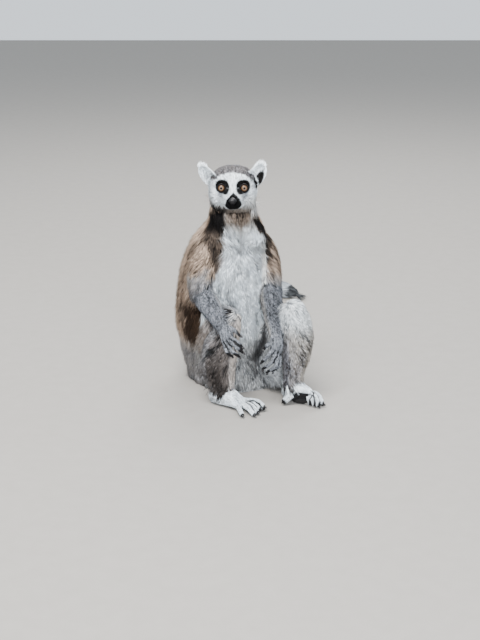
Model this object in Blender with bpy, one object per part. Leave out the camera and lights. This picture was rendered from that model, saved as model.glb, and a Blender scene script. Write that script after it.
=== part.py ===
"""Ring-tailed lemur sitting upright on its rump, life size, as a still museum model.

Every solid is the outer form of the coat. +Z is up, the face looks along -Y, the
animal's right side is at -X, and the origin is the centre of the seat on the floor.
Units are metres.
"""

import math

import bmesh
import bpy
from mathutils import Matrix, Vector

# ---------------------------------------------------------------- driving sizes
SEAM = 0.0004  # gap left between neighbouring solids
SEAM_GROWTH = 0.00035  # how far a neighbour is grown before it is cut away
BODY_YAW = math.radians(22)  # the trunk is turned towards the animal's left

HEAD_CENTRE = Vector((-0.0048, -0.047, 0.345))
EYE_SPACING = 0.0356
EYE_RADIUS = 0.0083
EYE_FORWARD = 0.0240
EYE_RISE = 0.0046
MUZZLE_ROOT = 0.036  # forward of the head's centre
NOSE_FORWARD = 0.0625
NOSE_DROP = 0.0090
EAR_LENGTH = 0.0355
EAR_THICKNESS = 0.0026

# Each ear leans outwards from upright and turns outwards from facing ahead.
EARS = {
    -1: {"lean": math.radians(40), "turn": math.radians(30), "width": 0.029},
    1: {"lean": math.radians(34), "turn": math.radians(6), "width": 0.029},
}

TAIL_PIECES = 6
TRUNK_BREAKS = (0.078, 0.168)  # heights where rump, belly and chest meet
SEAT_HUB = (-0.020, -0.012)  # where the seat's facets meet, clear of the origin

TRUNK_SIDES = 20
NECK_SIDES = 14
HEAD_SIDES = 16
THIGH_SIDES = 13
LIMB_SIDES = 9
TAIL_SIDES = 10
DIGIT_SIDES = 6

# A station is x, y, z, half width, half depth.
TRUNK = (
    (-0.001, -0.002, 0.000, 0.060, 0.074),
    (-0.003, -0.001, 0.018, 0.073, 0.081),
    (-0.011, 0.004, 0.045, 0.078, 0.080),
    (-0.019, 0.004, 0.085, 0.080, 0.080),
    (-0.0225, 0.002, 0.120, 0.0795, 0.077),
    (-0.0225, 0.000, 0.155, 0.0765, 0.072),
    (-0.0215, -0.003, 0.185, 0.0740, 0.066),
    (-0.0180, -0.008, 0.215, 0.0690, 0.058),
    (-0.0135, -0.012, 0.238, 0.0620, 0.050),
    (-0.0070, -0.016, 0.256, 0.0550, 0.045),
    (-0.0035, -0.019, 0.268, 0.0500, 0.042),
)
NECK = (
    (-0.0030, -0.016, 0.256, 0.0560, 0.043),
    (-0.0025, -0.020, 0.272, 0.0505, 0.041),
    (-0.0040, -0.025, 0.290, 0.0425, 0.039),
    (-0.0045, -0.031, 0.308, 0.0392, 0.037),
    (-0.0045, -0.037, 0.328, 0.0380, 0.034),
)
TAIL = (
    (-0.018, 0.060, 0.032, 0.019, 0.019),
    (-0.010, 0.110, 0.022, 0.021, 0.021),
    (0.018, 0.165, 0.0205, 0.0215, 0.021),
    (0.034, 0.225, 0.021, 0.022, 0.0215),
    (0.015, 0.285, 0.021, 0.0225, 0.022),
    (-0.025, 0.335, 0.0215, 0.023, 0.022),
    (-0.048, 0.395, 0.0215, 0.023, 0.022),
    (-0.025, 0.450, 0.0215, 0.023, 0.022),
    (0.030, 0.476, 0.021, 0.0220, 0.0215),
    (0.082, 0.474, 0.019, 0.0195, 0.0190),
    (0.115, 0.464, 0.014, 0.0130, 0.0135),
    (0.128, 0.458, 0.008, 0.003, 0.003),
)
# Head stations run forwards: distance forward, rise, half width, half height, and
# how much wider the lower half is.
HEAD = (
    (-0.0370, 0.0045, 0.0090, 0.0090, 0.00),
    (-0.0300, 0.0045, 0.0250, 0.0240, 0.00),
    (-0.0180, 0.0025, 0.0360, 0.0325, 0.00),
    (-0.0050, 0.0005, 0.0405, 0.0355, 0.01),
    (0.0080, -0.0002, 0.0400, 0.0345, 0.02),
    (0.0170, -0.0018, 0.0365, 0.0305, 0.03),
    (0.0230, -0.0045, 0.0305, 0.0260, 0.05),
    (0.0275, -0.0075, 0.0235, 0.0215, 0.08),
    (0.0330, -0.0100, 0.0195, 0.0178, 0.12),
    (0.0410, -0.0115, 0.0172, 0.0153, 0.18),
    (0.0500, -0.0125, 0.0156, 0.0132, 0.20),
    (0.0570, -0.0132, 0.0136, 0.0112, 0.20),
    (0.0630, -0.0138, 0.0096, 0.0084, 0.15),
    (0.0665, -0.0140, 0.0035, 0.0038, 0.05),
)
# Limbs are given for "right", the animal's own right, and "left".
LIMBS = {
    "thigh": {
        "right": (
            (-0.0390, -0.0050, 0.056, 0.042, 0.043),
            (-0.0350, -0.0500, 0.083, 0.035, 0.036),
            (-0.0210, -0.0850, 0.120, 0.029, 0.030),
            (-0.0075, -0.1060, 0.141, 0.0195, 0.021),
        ),
        "left": (
            (0.0440, 0.0080, 0.034, 0.044, 0.046),
            (0.0620, -0.0440, 0.046, 0.037, 0.054),
            (0.0795, -0.0710, 0.112, 0.032, 0.035),
            (0.0925, -0.0920, 0.147, 0.020, 0.021),
        ),
    },
    "shin": {
        "right": (
            (-0.0060, -0.1090, 0.1450, 0.0180, 0.0190),
            (-0.0160, -0.1170, 0.1170, 0.0240, 0.0230),
            (-0.0285, -0.1230, 0.0820, 0.0330, 0.0265),
            (-0.0265, -0.1300, 0.0480, 0.0270, 0.0215),
            (-0.0185, -0.1370, 0.0240, 0.0175, 0.0155),
        ),
        "left": (
            (0.0935, -0.0970, 0.1540, 0.0210, 0.0210),
            (0.1000, -0.1030, 0.1260, 0.0270, 0.0240),
            (0.1020, -0.1110, 0.0920, 0.0260, 0.0250),
            (0.0955, -0.1200, 0.0560, 0.0185, 0.0190),
            (0.0880, -0.1260, 0.0300, 0.0120, 0.0135),
        ),
    },
    "upper_arm": {
        "right": (
            (-0.0370, -0.0360, 0.2440, 0.0270, 0.0260),
            (-0.0520, -0.0510, 0.2150, 0.0275, 0.0270),
            (-0.0570, -0.0590, 0.1870, 0.0245, 0.0245),
            (-0.0585, -0.0620, 0.1700, 0.0190, 0.0200),
        ),
        "left": (
            (0.0385, -0.0010, 0.2430, 0.0225, 0.0240),
            (0.0548, -0.0060, 0.2150, 0.0192, 0.0230),
            (0.0592, -0.0215, 0.1860, 0.0178, 0.0205),
            (0.0590, -0.0340, 0.1680, 0.0180, 0.0185),
        ),
    },
    "forearm": {
        "right": (
            (-0.0585, -0.0600, 0.1725, 0.0175, 0.0180),
            (-0.0465, -0.0830, 0.1600, 0.0195, 0.0185),
            (-0.0320, -0.1130, 0.1470, 0.0155, 0.0150),
            (-0.0185, -0.1400, 0.1340, 0.0115, 0.0100),
        ),
        "left": (
            (0.0590, -0.0350, 0.1690, 0.0185, 0.0180),
            (0.0595, -0.0600, 0.1540, 0.0190, 0.0180),
            (0.0615, -0.0900, 0.1350, 0.0150, 0.0140),
            (0.0650, -0.1180, 0.1160, 0.0108, 0.0098),
        ),
    },
}
# A hand: stations of the palm from wrist to knuckles, the way its width runs, and each
# digit's root, middle joint, tip and radius.
HANDS = {
    "right": {
        "palm": (
            (-0.0175, -0.1430, 0.1325, 0.0108, 0.0085),
            (-0.0145, -0.1540, 0.1265, 0.0120, 0.0075),
            (-0.0120, -0.1630, 0.1195, 0.0118, 0.0058),
        ),
        "width_way": (0.60, 0.0, 0.80),
        "digits": {
            "thumb": (
                (-0.010, -0.1515, 0.1400),
                (-0.001, -0.1590, 0.1365),
                (0.0085, -0.1640, 0.1280),
                0.0036,
            ),
            "index_finger": (
                (-0.0070, -0.1630, 0.1262),
                (0.0035, -0.1730, 0.1205),
                (0.0115, -0.1740, 0.1122),
                0.0038,
            ),
            "middle_finger": (
                (-0.0100, -0.1655, 0.1220),
                (0.0010, -0.1780, 0.1145),
                (0.0125, -0.1725, 0.1035),
                0.0038,
            ),
            "ring_finger": (
                (-0.0135, -0.1655, 0.1165),
                (-0.0045, -0.1780, 0.1065),
                (0.0065, -0.1700, 0.0960),
                0.0037,
            ),
            "little_finger": (
                (-0.0170, -0.1635, 0.1115),
                (-0.0125, -0.1735, 0.1025),
                (-0.0050, -0.1655, 0.0955),
                0.0034,
            ),
        },
    },
    "left": {
        "palm": (
            (0.0658, -0.1230, 0.1135, 0.0100, 0.0085),
            (0.0665, -0.1310, 0.1035, 0.0118, 0.0075),
            (0.0655, -0.1370, 0.0930, 0.0112, 0.0058),
        ),
        "width_way": (0.78, 0.30, -0.55),
        "digits": {
            "thumb": (
                (0.0590, -0.1290, 0.1070),
                (0.0510, -0.1350, 0.1035),
                (0.0445, -0.1360, 0.0955),
                0.0036,
            ),
            "index_finger": (
                (0.0590, -0.1395, 0.0960),
                (0.0520, -0.1470, 0.0890),
                (0.0410, -0.1440, 0.0765),
                0.0038,
            ),
            "middle_finger": (
                (0.0635, -0.1400, 0.0930),
                (0.0600, -0.1490, 0.0800),
                (0.0435, -0.1430, 0.0655),
                0.0038,
            ),
            "ring_finger": (
                (0.0680, -0.1385, 0.0890),
                (0.0655, -0.1480, 0.0735),
                (0.0500, -0.1420, 0.0590),
                0.0037,
            ),
            "little_finger": (
                (0.0715, -0.1360, 0.0835),
                (0.0700, -0.1420, 0.0700),
                (0.0590, -0.1370, 0.0590),
                0.0034,
            ),
        },
    },
}
# A foot: stations of its sole from heel to the toes' roots, and each digit's path.
FEET = {
    "right": {
        "sole": (
            (-0.0360, -0.1240, 0.0110, 0.0105, 0.0108),
            (-0.0250, -0.1330, 0.0155, 0.0135, 0.0150),
            (-0.0090, -0.1440, 0.0155, 0.0140, 0.0140),
            (0.0025, -0.1505, 0.0120, 0.0150, 0.0100),
            (0.0092, -0.1540, 0.0088, 0.0155, 0.0074),
        ),
        "digits": {
            "big_toe": (
                (0.0120, -0.1440, 0.0110),
                (0.0375, -0.1530, 0.0114),
                (0.0450, -0.1665, 0.0062),
                0.0058,
            ),
            "second_toe": (
                (0.0200, -0.1470, 0.0095),
                (0.0310, -0.1570, 0.0108),
                (0.0385, -0.1700, 0.0046),
                0.0046,
            ),
            "third_toe": (
                (0.0160, -0.1520, 0.0090),
                (0.0262, -0.1680, 0.0108),
                (0.0355, -0.1825, 0.0046),
                0.0048,
            ),
            "fourth_toe": (
                (0.0110, -0.1560, 0.0088),
                (0.0200, -0.1760, 0.0106),
                (0.0300, -0.1920, 0.0046),
                0.0049,
            ),
            "little_toe": (
                (0.0025, -0.1590, 0.0080),
                (0.0062, -0.1790, 0.0094),
                (0.0108, -0.1935, 0.0044),
                0.0047,
            ),
        },
    },
    "left": {
        "sole": (
            (0.0845, -0.1040, 0.0110, 0.0095, 0.0105),
            (0.0885, -0.1160, 0.0165, 0.0115, 0.0145),
            (0.0965, -0.1255, 0.0208, 0.0130, 0.0172),
            (0.1075, -0.1325, 0.0225, 0.0135, 0.0140),
            (0.1180, -0.1365, 0.0215, 0.0130, 0.0080),
        ),
        "digits": {
            "big_toe": (
                (0.0985, -0.1315, 0.0230),
                (0.0880, -0.1360, 0.0145),
                (0.0788, -0.1385, 0.0064),
                0.0067,
            ),
            "second_toe": (
                (0.1150, -0.1420, 0.0215),
                (0.1195, -0.1455, 0.0160),
                (0.1220, -0.1450, 0.0048),
                0.0046,
            ),
            "third_toe": (
                (0.1200, -0.1415, 0.0225),
                (0.1258, -0.1475, 0.0172),
                (0.1288, -0.1500, 0.0048),
                0.0049,
            ),
            "fourth_toe": (
                (0.1245, -0.1380, 0.0225),
                (0.1315, -0.1465, 0.0182),
                (0.1355, -0.1530, 0.0048),
                0.0049,
            ),
            "little_toe": (
                (0.1285, -0.1340, 0.0210),
                (0.1368, -0.1410, 0.0172),
                (0.1425, -0.1485, 0.0046),
                0.0046,
            ),
        },
    },
}

FINISHES = {
    # name: colour, roughness
    "pale_coat": (
        (0.72, 0.72, 0.70),
        0.85,
    ),
    "grey_coat": (
        (0.36, 0.34, 0.33),
        0.85,
    ),
    "brown_coat": (
        (0.34, 0.27, 0.22),
        0.85,
    ),
    "black_coat": (
        (0.05, 0.045, 0.045),
        0.8,
    ),
    "hand_skin": (
        (0.30, 0.30, 0.33),
        0.6,
    ),
    "nose_leather": (
        (0.02, 0.02, 0.022),
        0.35,
    ),
    "amber_eye": (
        (0.55, 0.25, 0.06),
        0.08,
    ),
}


# ---------------------------------------------------------------- shaping helpers
def clear_scene():
    for obj in list(bpy.data.objects):
        bpy.data.objects.remove(obj)


def finish_material(name):
    """The Principled material of that finish, made once."""
    if name in bpy.data.materials:
        return bpy.data.materials[name]
    colour, roughness = FINISHES[name]
    material = bpy.data.materials.new(name)
    material.use_nodes = True
    shader = material.node_tree.nodes["Principled BSDF"]
    shader.inputs["Base Color"].default_value = (*colour, 1.0)
    shader.inputs["Roughness"].default_value = roughness
    return material


def smooth_value(values, t):
    """Catmull-Rom interpolation of a list of tuples at t from 0 to 1."""
    spans = len(values) - 1
    place = min(max(t, 0.0), 1.0) * spans
    i = min(int(place), spans - 1)
    u = place - i
    before = values[max(i - 1, 0)]
    after = values[min(i + 2, spans)]
    return tuple(
        0.5
        * (
            2 * b
            + (c - a) * u
            + (2 * a - 5 * b + 4 * c - d) * u * u
            + (3 * b - a - 3 * c + d) * u**3
        )
        for a, b, c, d in zip(before, values[i], values[i + 1], after)
    )


def section(sides, power=2.0, widening=0.0):
    """A closed outline of unit half sizes: a superellipse, wider in its lower half."""
    points = []
    for k in range(sides):
        angle = 2 * math.pi * (k + 0.5) / sides
        c, s = math.cos(angle), math.sin(angle)
        across = math.copysign(abs(c) ** (2 / power), c) * (1 - widening * s)
        up = math.copysign(abs(s) ** (2 / power), s)
        points.append((across, up))
    return points


def skin_rings(rings, tips=(None, None)):
    """A closed mesh through rings of equal size, each end fanned to its tip or its middle."""
    bm = bmesh.new()
    loops = [[bm.verts.new(p) for p in ring] for ring in rings]
    count = len(loops[0])
    for lower, upper in zip(loops, loops[1:]):
        for k in range(count):
            n = (k + 1) % count
            bm.faces.new((lower[k], lower[n], upper[n], upper[k]))
    for loop, tip in zip((loops[0], loops[-1]), tips):
        middle = sum((v.co for v in loop), Vector()) / count
        tip = bm.verts.new(tip or middle)
        for k in range(count):
            bm.faces.new((loop[k], loop[(k + 1) % count], tip))
    bmesh.ops.recalc_face_normals(bm, faces=bm.faces)
    return bm


def loft(stations, side, sides, rings, start=0.0, end=1.0, power=2.0, caps=(60, 30)):
    """A limb through stations, its width along side. Each end is rounded through caps, degrees."""
    side = Vector(side)
    step = 0.004

    def frame(t):
        here = smooth_value(stations, t)
        ahead = smooth_value(stations, min(t + step, 1.0))
        behind = smooth_value(stations, max(t - step, 0.0))
        tangent = (Vector(ahead[:3]) - Vector(behind[:3])).normalized()
        across = (side - tangent * side.dot(tangent)).normalized()
        return Vector(here[:3]), tangent, across, here[3], here[4]

    def ring(t, scale=1.0, push=0.0):
        centre, tangent, across, wide, deep = frame(t)
        up = tangent.cross(across)
        return [
            centre + tangent * push + across * (u * wide * scale) + up * (v * deep * scale)
            for u, v in section(sides, power)
        ]

    def reach(t):
        return 0.8 * min(frame(t)[3:])

    outline = [ring(start + (end - start) * k / rings) for k in range(rings + 1)]
    tips = (None, None)
    if caps:
        for a in sorted(map(math.radians, caps)):
            outline.insert(0, ring(start, math.cos(a), -math.sin(a) * reach(start)))
            outline.append(ring(end, math.cos(a), math.sin(a) * reach(end)))
        tips = (
            frame(start)[0] - frame(start)[1] * reach(start),
            frame(end)[0] + frame(end)[1] * reach(end),
        )
    return skin_rings(outline, tips)


def stand_on_floor(bm):
    """Presses whatever would hang below the floor into a small flat on it."""
    for v in bm.verts:
        v.co.z = max(v.co.z, 0.0)


def cutter_of(name, bm):
    """A hidden copy of a whole form, bigger by the seam all over, to cut its neighbours with."""
    bm.normal_update()
    mesh = bpy.data.meshes.new(name + "_cutter")
    bm.to_mesh(mesh)
    for v, whole in zip(mesh.vertices, bm.verts):
        v.co = whole.co + whole.normal * SEAM_GROWTH * min(whole.calc_shell_factor(), 2.0)
    cutter = bpy.data.objects.new(mesh.name, mesh)
    cutter.hide_render = True
    cutter.display_type = "WIRE"
    bpy.context.scene.collection.objects.link(cutter)
    return cutter


def bounds(obj):
    points = [v.co for v in obj.data.vertices]
    low = [min(p[i] for p in points) for i in range(3)]
    high = [max(p[i] for p in points) for i in range(3)]
    return low, high


def near(a, b):
    (low_a, high_a), (low_b, high_b) = bounds(a), bounds(b)
    return all(
        low_a[i] - SEAM < high_b[i] and low_b[i] - SEAM < high_a[i] for i in range(3)
    )


def keep_largest_body(bm):
    """Drops the crumbs that a cut leaves, so that one body stays."""
    bm.verts.ensure_lookup_table()
    seen, bodies = set(), []
    for start in bm.verts:
        if start in seen:
            continue
        body, waiting = [], [start]
        seen.add(start)
        while waiting:
            v = waiting.pop()
            body.append(v)
            for edge in v.link_edges:
                other = edge.other_vert(v)
                if other not in seen:
                    seen.add(other)
                    waiting.append(other)
        bodies.append(body)
    bodies.sort(key=len)
    crumbs = [v for body in bodies[:-1] for v in body]
    bmesh.ops.delete(bm, geom=crumbs, context="VERTS")


class Animal:
    """Collects the parts in order. Each new part is cut where an earlier one already is."""

    def __init__(self):
        self.cutters = []

    def add(self, name, bm, finish, on_floor=False):
        if on_floor:
            stand_on_floor(bm)
        bmesh.ops.triangulate(bm, faces=bm.faces)
        cutter = cutter_of(name, bm)
        mesh = bpy.data.meshes.new(name)
        bm.to_mesh(mesh)
        bm.free()
        part = bpy.data.objects.new(name, mesh)
        bpy.context.scene.collection.objects.link(part)
        for other in self.cutters:
            if near(part, other):
                self.cut(part, other)
        part.data.materials.clear()
        part.data.materials.append(finish_material(finish))
        part.data.shade_smooth()
        part.data.set_sharp_from_angle(angle=math.radians(50))
        self.cutters.append(cutter)

    def cut(self, part, other):
        """Takes a whole grown form out of a part; grazing faces may need the tolerant way."""
        for tolerant in (False, True):
            modifier = part.modifiers.new(other.name, "BOOLEAN")
            modifier.operation = "DIFFERENCE"
            modifier.solver = "EXACT"
            modifier.use_hole_tolerant = tolerant
            modifier.object = other
            graph = bpy.context.evaluated_depsgraph_get()
            cleared = bpy.data.meshes.new_from_object(part.evaluated_get(graph))
            part.modifiers.clear()
            bm = bmesh.new()
            bm.from_mesh(cleared)
            bpy.data.meshes.remove(cleared)
            done = bool(bm.faces)
            if done:
                keep_largest_body(bm)
                bmesh.ops.triangulate(bm, faces=bm.faces)
                bm.to_mesh(part.data)
            bm.free()
            if done:
                return

    def put_cutters_away(self):
        for cutter in self.cutters:
            bpy.data.objects.remove(cutter)
        self.cutters = []


# ---------------------------------------------------------------- the head
def head_place(forward, rise, aside=0.0):
    return HEAD_CENTRE + Vector((aside, -forward, rise))


def head_ring(forward, rise, wide, tall, widening):
    return [
        head_place(forward, rise + v * tall, u * wide)
        for u, v in section(HEAD_SIDES, 2.35, widening)
    ]


def head_section(forward):
    """The head's own section at a distance forward."""
    low, high = 0.0, 1.0
    for _ in range(40):
        middle = (low + high) / 2
        if smooth_value(HEAD, middle)[0] < forward:
            low = middle
        else:
            high = middle
    return head_ring(forward, *smooth_value(HEAD, low)[1:])


def head_form(start=None, end=None):
    """The head's loft, ended flat at start or end, distances forward, where those are given."""
    steps = 15
    stations = [smooth_value(HEAD, k / steps) for k in range(steps + 1)]
    rings = [
        head_ring(*station)
        for station in stations
        if (start is None or station[0] > start) and (end is None or station[0] < end)
    ]
    if start is not None:
        rings.insert(0, head_section(start))
    if end is not None:
        rings.append(head_section(end))
    return skin_rings(rings)


def ball(centre, radii, segments, rings):
    bm = bmesh.new()
    shape = Matrix.Translation(centre) @ Matrix.Diagonal((*radii, 1.0))
    bmesh.ops.create_uvsphere(
        bm, u_segments=segments, v_segments=rings, radius=1.0, matrix=shape
    )
    return bm


def ear(side):
    """A cupped leaf on the side of the head, widest a third of the way up, hollow forwards."""
    pose = EARS[side]
    way = Vector((side * math.sin(pose["lean"]), -0.10, math.cos(pose["lean"]))).normalized()
    face = Matrix.Rotation(pose["turn"] * side, 3, way) @ Vector((0, -1, 0))
    face = (face - way * face.dot(way)).normalized()
    across = way.cross(face)
    root = head_place(0.006, 0.008, side * 0.0295)
    bm = bmesh.new()
    bmesh.ops.create_grid(bm, x_segments=5, y_segments=6, size=0.5)
    for v in bm.verts:
        u = v.co.y + 0.5
        w = 2 * v.co.x
        leaf = (0.72 + 0.75 * u - 0.25 * u * u) * math.sqrt(1 - 0.96 * u**1.9)
        cup = 0.0075 * w * w * (1 - 0.4 * u) - 0.0035
        v.co = (
            root
            + way * (u * EAR_LENGTH)
            + across * (w * pose["width"] / 2 * leaf)
            + face * cup
        )
    bmesh.ops.recalc_face_normals(bm, faces=bm.faces)
    bmesh.ops.solidify(bm, geom=bm.faces, thickness=EAR_THICKNESS)
    bmesh.ops.recalc_face_normals(bm, faces=bm.faces)
    return bm


def add_head(animal):
    for side, label in ((-1, "right"), (1, "left")):
        eye = head_place(EYE_FORWARD, EYE_RISE, side * EYE_SPACING / 2)
        animal.add(f"eye_{label}", ball(eye, (EYE_RADIUS,) * 3, 10, 7), "amber_eye")
    nose = head_place(NOSE_FORWARD, -NOSE_DROP, 0.0)
    animal.add("nose", ball(nose, (0.0070, 0.0064, 0.0058), 10, 7), "nose_leather")
    half_seam = SEAM / 2
    animal.add("muzzle", head_form(start=MUZZLE_ROOT + half_seam), "pale_coat")
    animal.add("head", head_form(end=MUZZLE_ROOT - half_seam), "pale_coat")
    for side, label in ((-1, "right"), (1, "left")):
        animal.add(f"ear_{label}", ear(side), "pale_coat")


# ---------------------------------------------------------------- trunk, neck and tail
def add_trunk(animal):
    side = (math.cos(BODY_YAW), math.sin(BODY_YAW), 0.0)
    top = TRUNK[-1][2]
    heights = (TRUNK[0][2], *TRUNK_BREAKS, top)
    names = ("rump", "belly", "chest")
    finishes = ("grey_coat", "pale_coat", "pale_coat")

    def place(height):
        low, high = 0.0, 1.0
        for _ in range(40):
            middle = (low + high) / 2
            if smooth_value(TRUNK, middle)[2] < height:
                low = middle
            else:
                high = middle
        return low

    for k, name in enumerate(names):
        low = 0.0 if k == 0 else place(heights[k] + SEAM / 2)
        high = 1.0 if k == 2 else place(heights[k + 1] - SEAM / 2)
        form = loft(TRUNK, side, TRUNK_SIDES, 5, low, high, power=2.3, caps=())
        level_ends(form, heights[k], heights[k + 1], k)
        animal.add(name, form, finishes[k], on_floor=True)
    neck = loft(NECK, (1.0, 0.15, 0.0), NECK_SIDES, 4, caps=())
    animal.add("neck", neck, "grey_coat")


def level_ends(form, low, high, place):
    """Makes a trunk piece's end rings level, so that it sits flat and meets the next flat."""
    form.verts.ensure_lookup_table()
    count = TRUNK_SIDES
    for v in form.verts[:count]:
        v.co.z = low + (SEAM / 2 if place else 0.0)
    if place < 2:
        for v in form.verts[-count - 2 : -2]:
            v.co.z = high - SEAM / 2
    bottom, top = form.verts[-2:]
    bottom.co.z = form.verts[0].co.z
    top.co.z = sum(v.co.z for v in form.verts[-count - 2 : -2]) / count
    if place == 0:
        bottom.co.xy = SEAT_HUB


def add_tail(animal):
    length = sum(
        (Vector(b[:3]) - Vector(a[:3])).length for a, b in zip(TAIL, TAIL[1:])
    )
    gap = SEAM / length
    for k in range(TAIL_PIECES):
        low = k / TAIL_PIECES + (gap / 2 if k else 0)
        high = (k + 1) / TAIL_PIECES - (gap / 2 if k < TAIL_PIECES - 1 else 0)
        form = loft(TAIL, (0, 0, 1), TAIL_SIDES, 5, low, high, caps=())
        animal.add(f"tail_{k + 1}", form, "grey_coat", on_floor=True)


# ---------------------------------------------------------------- limbs
def digit_form(root, middle, tip, radius):
    """A finger or toe through its root, middle joint and tip."""
    thick = ((root, 1.04), (middle, 1.0), (tip, 0.86))
    stations = [(*place, radius * size, radius * size * 0.94) for place, size in thick]
    bend = (Vector(middle) - Vector(root)).cross(Vector(tip) - Vector(middle))
    return loft(stations, bend, DIGIT_SIDES, 4, caps=(45,))


def add_hand(animal, label):
    hand = HANDS[label]
    palm = loft(hand["palm"], hand["width_way"], LIMB_SIDES, 4, power=2.3)
    animal.add(f"hand_{label}", palm, "grey_coat")
    for name, (root, middle, tip, radius) in hand["digits"].items():
        animal.add(f"{name}_{label}", digit_form(root, middle, tip, radius), "hand_skin")


def add_foot(animal, label):
    foot = FEET[label]
    across = Vector(foot["sole"][-1][:3]) - Vector(foot["sole"][0][:3])
    width_way = Vector((0, 0, 1)).cross(across)
    sole = loft(foot["sole"], width_way, LIMB_SIDES, 6, power=2.3)
    animal.add(f"foot_{label}", sole, "pale_coat", on_floor=True)
    for name, (root, middle, tip, radius) in foot["digits"].items():
        form = digit_form(root, middle, tip, radius)
        animal.add(f"{name}_{label}", form, "pale_coat", on_floor=True)


def add_limb(animal, name, label, finish, sides=LIMB_SIDES):
    form = loft(LIMBS[name][label], (1, 0.2, 0.1), sides, 5)
    animal.add(f"{name}_{label}", form, finish, on_floor=True)


def build():
    clear_scene()
    animal = Animal()
    add_head(animal)
    add_trunk(animal)
    for label in ("right", "left"):
        add_limb(animal, "thigh", label, "grey_coat", sides=THIGH_SIDES)
        add_limb(animal, "shin", label, "pale_coat")
        add_foot(animal, label)
        add_limb(animal, "upper_arm", label, "brown_coat")
        add_limb(animal, "forearm", label, "grey_coat")
        add_hand(animal, label)
    add_tail(animal)
    animal.put_cutters_away()


build()
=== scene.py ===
"""Dresses the solid model of a sitting ring-tailed lemur.

One skin takes the place of the solids of flesh and lies under them by the coat's depth.
Eyes, nose and nails are pieces of their own, and the coat is made of tapered tufts that
are rooted on the skin and end on the outside of the solids. Units are metres, +Z is up
and the face looks along -Y.
"""

import math

import bmesh
import bpy
import numpy as np
from bpy.props import FloatProperty, FloatVectorProperty, IntProperty, PointerProperty
from bpy.types import Operator, Panel, PropertyGroup
from mathutils import Matrix, Vector
from mathutils.bvhtree import BVHTree


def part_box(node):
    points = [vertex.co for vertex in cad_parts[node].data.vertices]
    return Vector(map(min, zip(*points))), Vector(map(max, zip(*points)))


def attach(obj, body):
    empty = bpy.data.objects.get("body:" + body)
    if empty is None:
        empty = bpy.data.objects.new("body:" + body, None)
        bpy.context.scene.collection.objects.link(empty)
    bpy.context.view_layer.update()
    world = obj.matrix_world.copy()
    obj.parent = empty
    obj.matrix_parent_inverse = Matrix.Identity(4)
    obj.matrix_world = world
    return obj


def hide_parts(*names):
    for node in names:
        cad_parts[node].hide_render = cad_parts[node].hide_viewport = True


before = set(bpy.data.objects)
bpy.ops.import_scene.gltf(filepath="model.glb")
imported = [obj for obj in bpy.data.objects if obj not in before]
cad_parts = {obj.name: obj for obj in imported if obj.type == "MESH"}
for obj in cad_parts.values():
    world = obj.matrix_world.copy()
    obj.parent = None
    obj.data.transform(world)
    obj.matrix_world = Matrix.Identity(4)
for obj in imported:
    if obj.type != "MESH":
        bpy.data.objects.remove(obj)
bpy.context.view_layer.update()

bl_info = {
    "name": "Ring-tailed lemur finish",
    "version": (1, 0, 0),
    "blender": (4, 5, 0),
    "location": "3D View > Sidebar > Lemur",
    "description": "Skin, eyes, nose, nails and coat of a sitting ring-tailed lemur",
    "category": "Object",
}

SIDES = ("right", "left")
FINGERS = ("thumb", "index_finger", "middle_finger", "ring_finger", "little_finger")
TOES = ("big_toe", "second_toe", "third_toe", "fourth_toe", "little_toe")
HAND = ("hand", *FINGERS)
FOOT = ("foot", *TOES)
TAIL = tuple(f"tail_{k}" for k in range(1, 7))


def of_side(names, side):
    return tuple(f"{name}_{side}" for name in names)


def of_both(*names):
    return of_side(names, "right") + of_side(names, "left")


HEAD_NODES = ("head", "muzzle", *of_both("ear"))
LIMBS = of_both("thigh", "shin", "upper_arm", "forearm")
BODY_NODES = ("rump", "belly", "chest", "neck", *TAIL, *LIMBS)
FLESH = (*BODY_NODES, *HEAD_NODES, *of_both(*HAND, *FOOT))

# Landmarks of the face, measured from the point midway between the eyes' centres.
EYE_BOXES = {side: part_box(f"eye_{side}") for side in SIDES}
EYE_CENTRES = {side: (low + high) / 2 for side, (low, high) in EYE_BOXES.items()}
EYE_RADIUS = (EYE_BOXES["left"][1].z - EYE_BOXES["left"][0].z) / 2
FACE = (EYE_CENTRES["right"] + EYE_CENTRES["left"]) / 2
GAZE_UP = 0.10
GAZE_OUT = 0.10

# The muzzle's black, as drop below the eyes and half width, and the grey cap's lower edge,
# as distance aside and rise.
MUZZLE_EDGE = (
    (0.0022, 0.0),
    (0.0040, 0.0018),
    (0.0066, 0.0057),
    (0.0112, 0.0106),
    (0.0166, 0.0128),
    (0.0203, 0.0140),
    (0.0242, 0.0118),
    (0.0275, 0.0070),
)
CAP_EDGE = ((0.0, 0.0238), (0.004, 0.0221), (0.0115, 0.0214), (0.0195, 0.0192), (0.0320, 0.0104))

# The upper edge of the chin's painted shade, as aside and rise, and how strong its colours are
# at stations aside.
CHIN_EDGE = (
    (-0.038, -0.0195),
    (-0.030, -0.0240),
    (-0.022, -0.0280),
    (-0.014, -0.0300),
    (-0.005, -0.0262),
    (0.006, -0.0262),
    (0.014, -0.0290),
    (0.030, -0.0300),
)
CHIN_STATIONS = (-0.042, -0.030, -0.016, -0.008, 0.004, 0.014, 0.030)
CHIN_SHADE_CHARCOAL = (0.3, 1.0, 0.95, 0.65, 0.50, 0.22, 0.06)
CHIN_TAUPE = (0.2, 0.2, 0.5, 0.7, 0.7, 0.45, 0.25)

# Ovals, as aside and rise of the middle, half width and half height: on the face the eye's
# black patch, the short coat round the eye and the smudge under it, and on the right knee
# the bare spot, in the frame's own x and z.
EYE_PATCH = (0.0169, 0.0026, 0.0114, 0.0104)
EYE_SURROUND = (0.0174, 0.0022, 0.0112, 0.0104)
CHEEK_SMUDGE = (0.0200, -0.0098, 0.0072, 0.0078)
KNEE_SPOT = (-0.0142, 0.1550, 0.0046, 0.0088)

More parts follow.
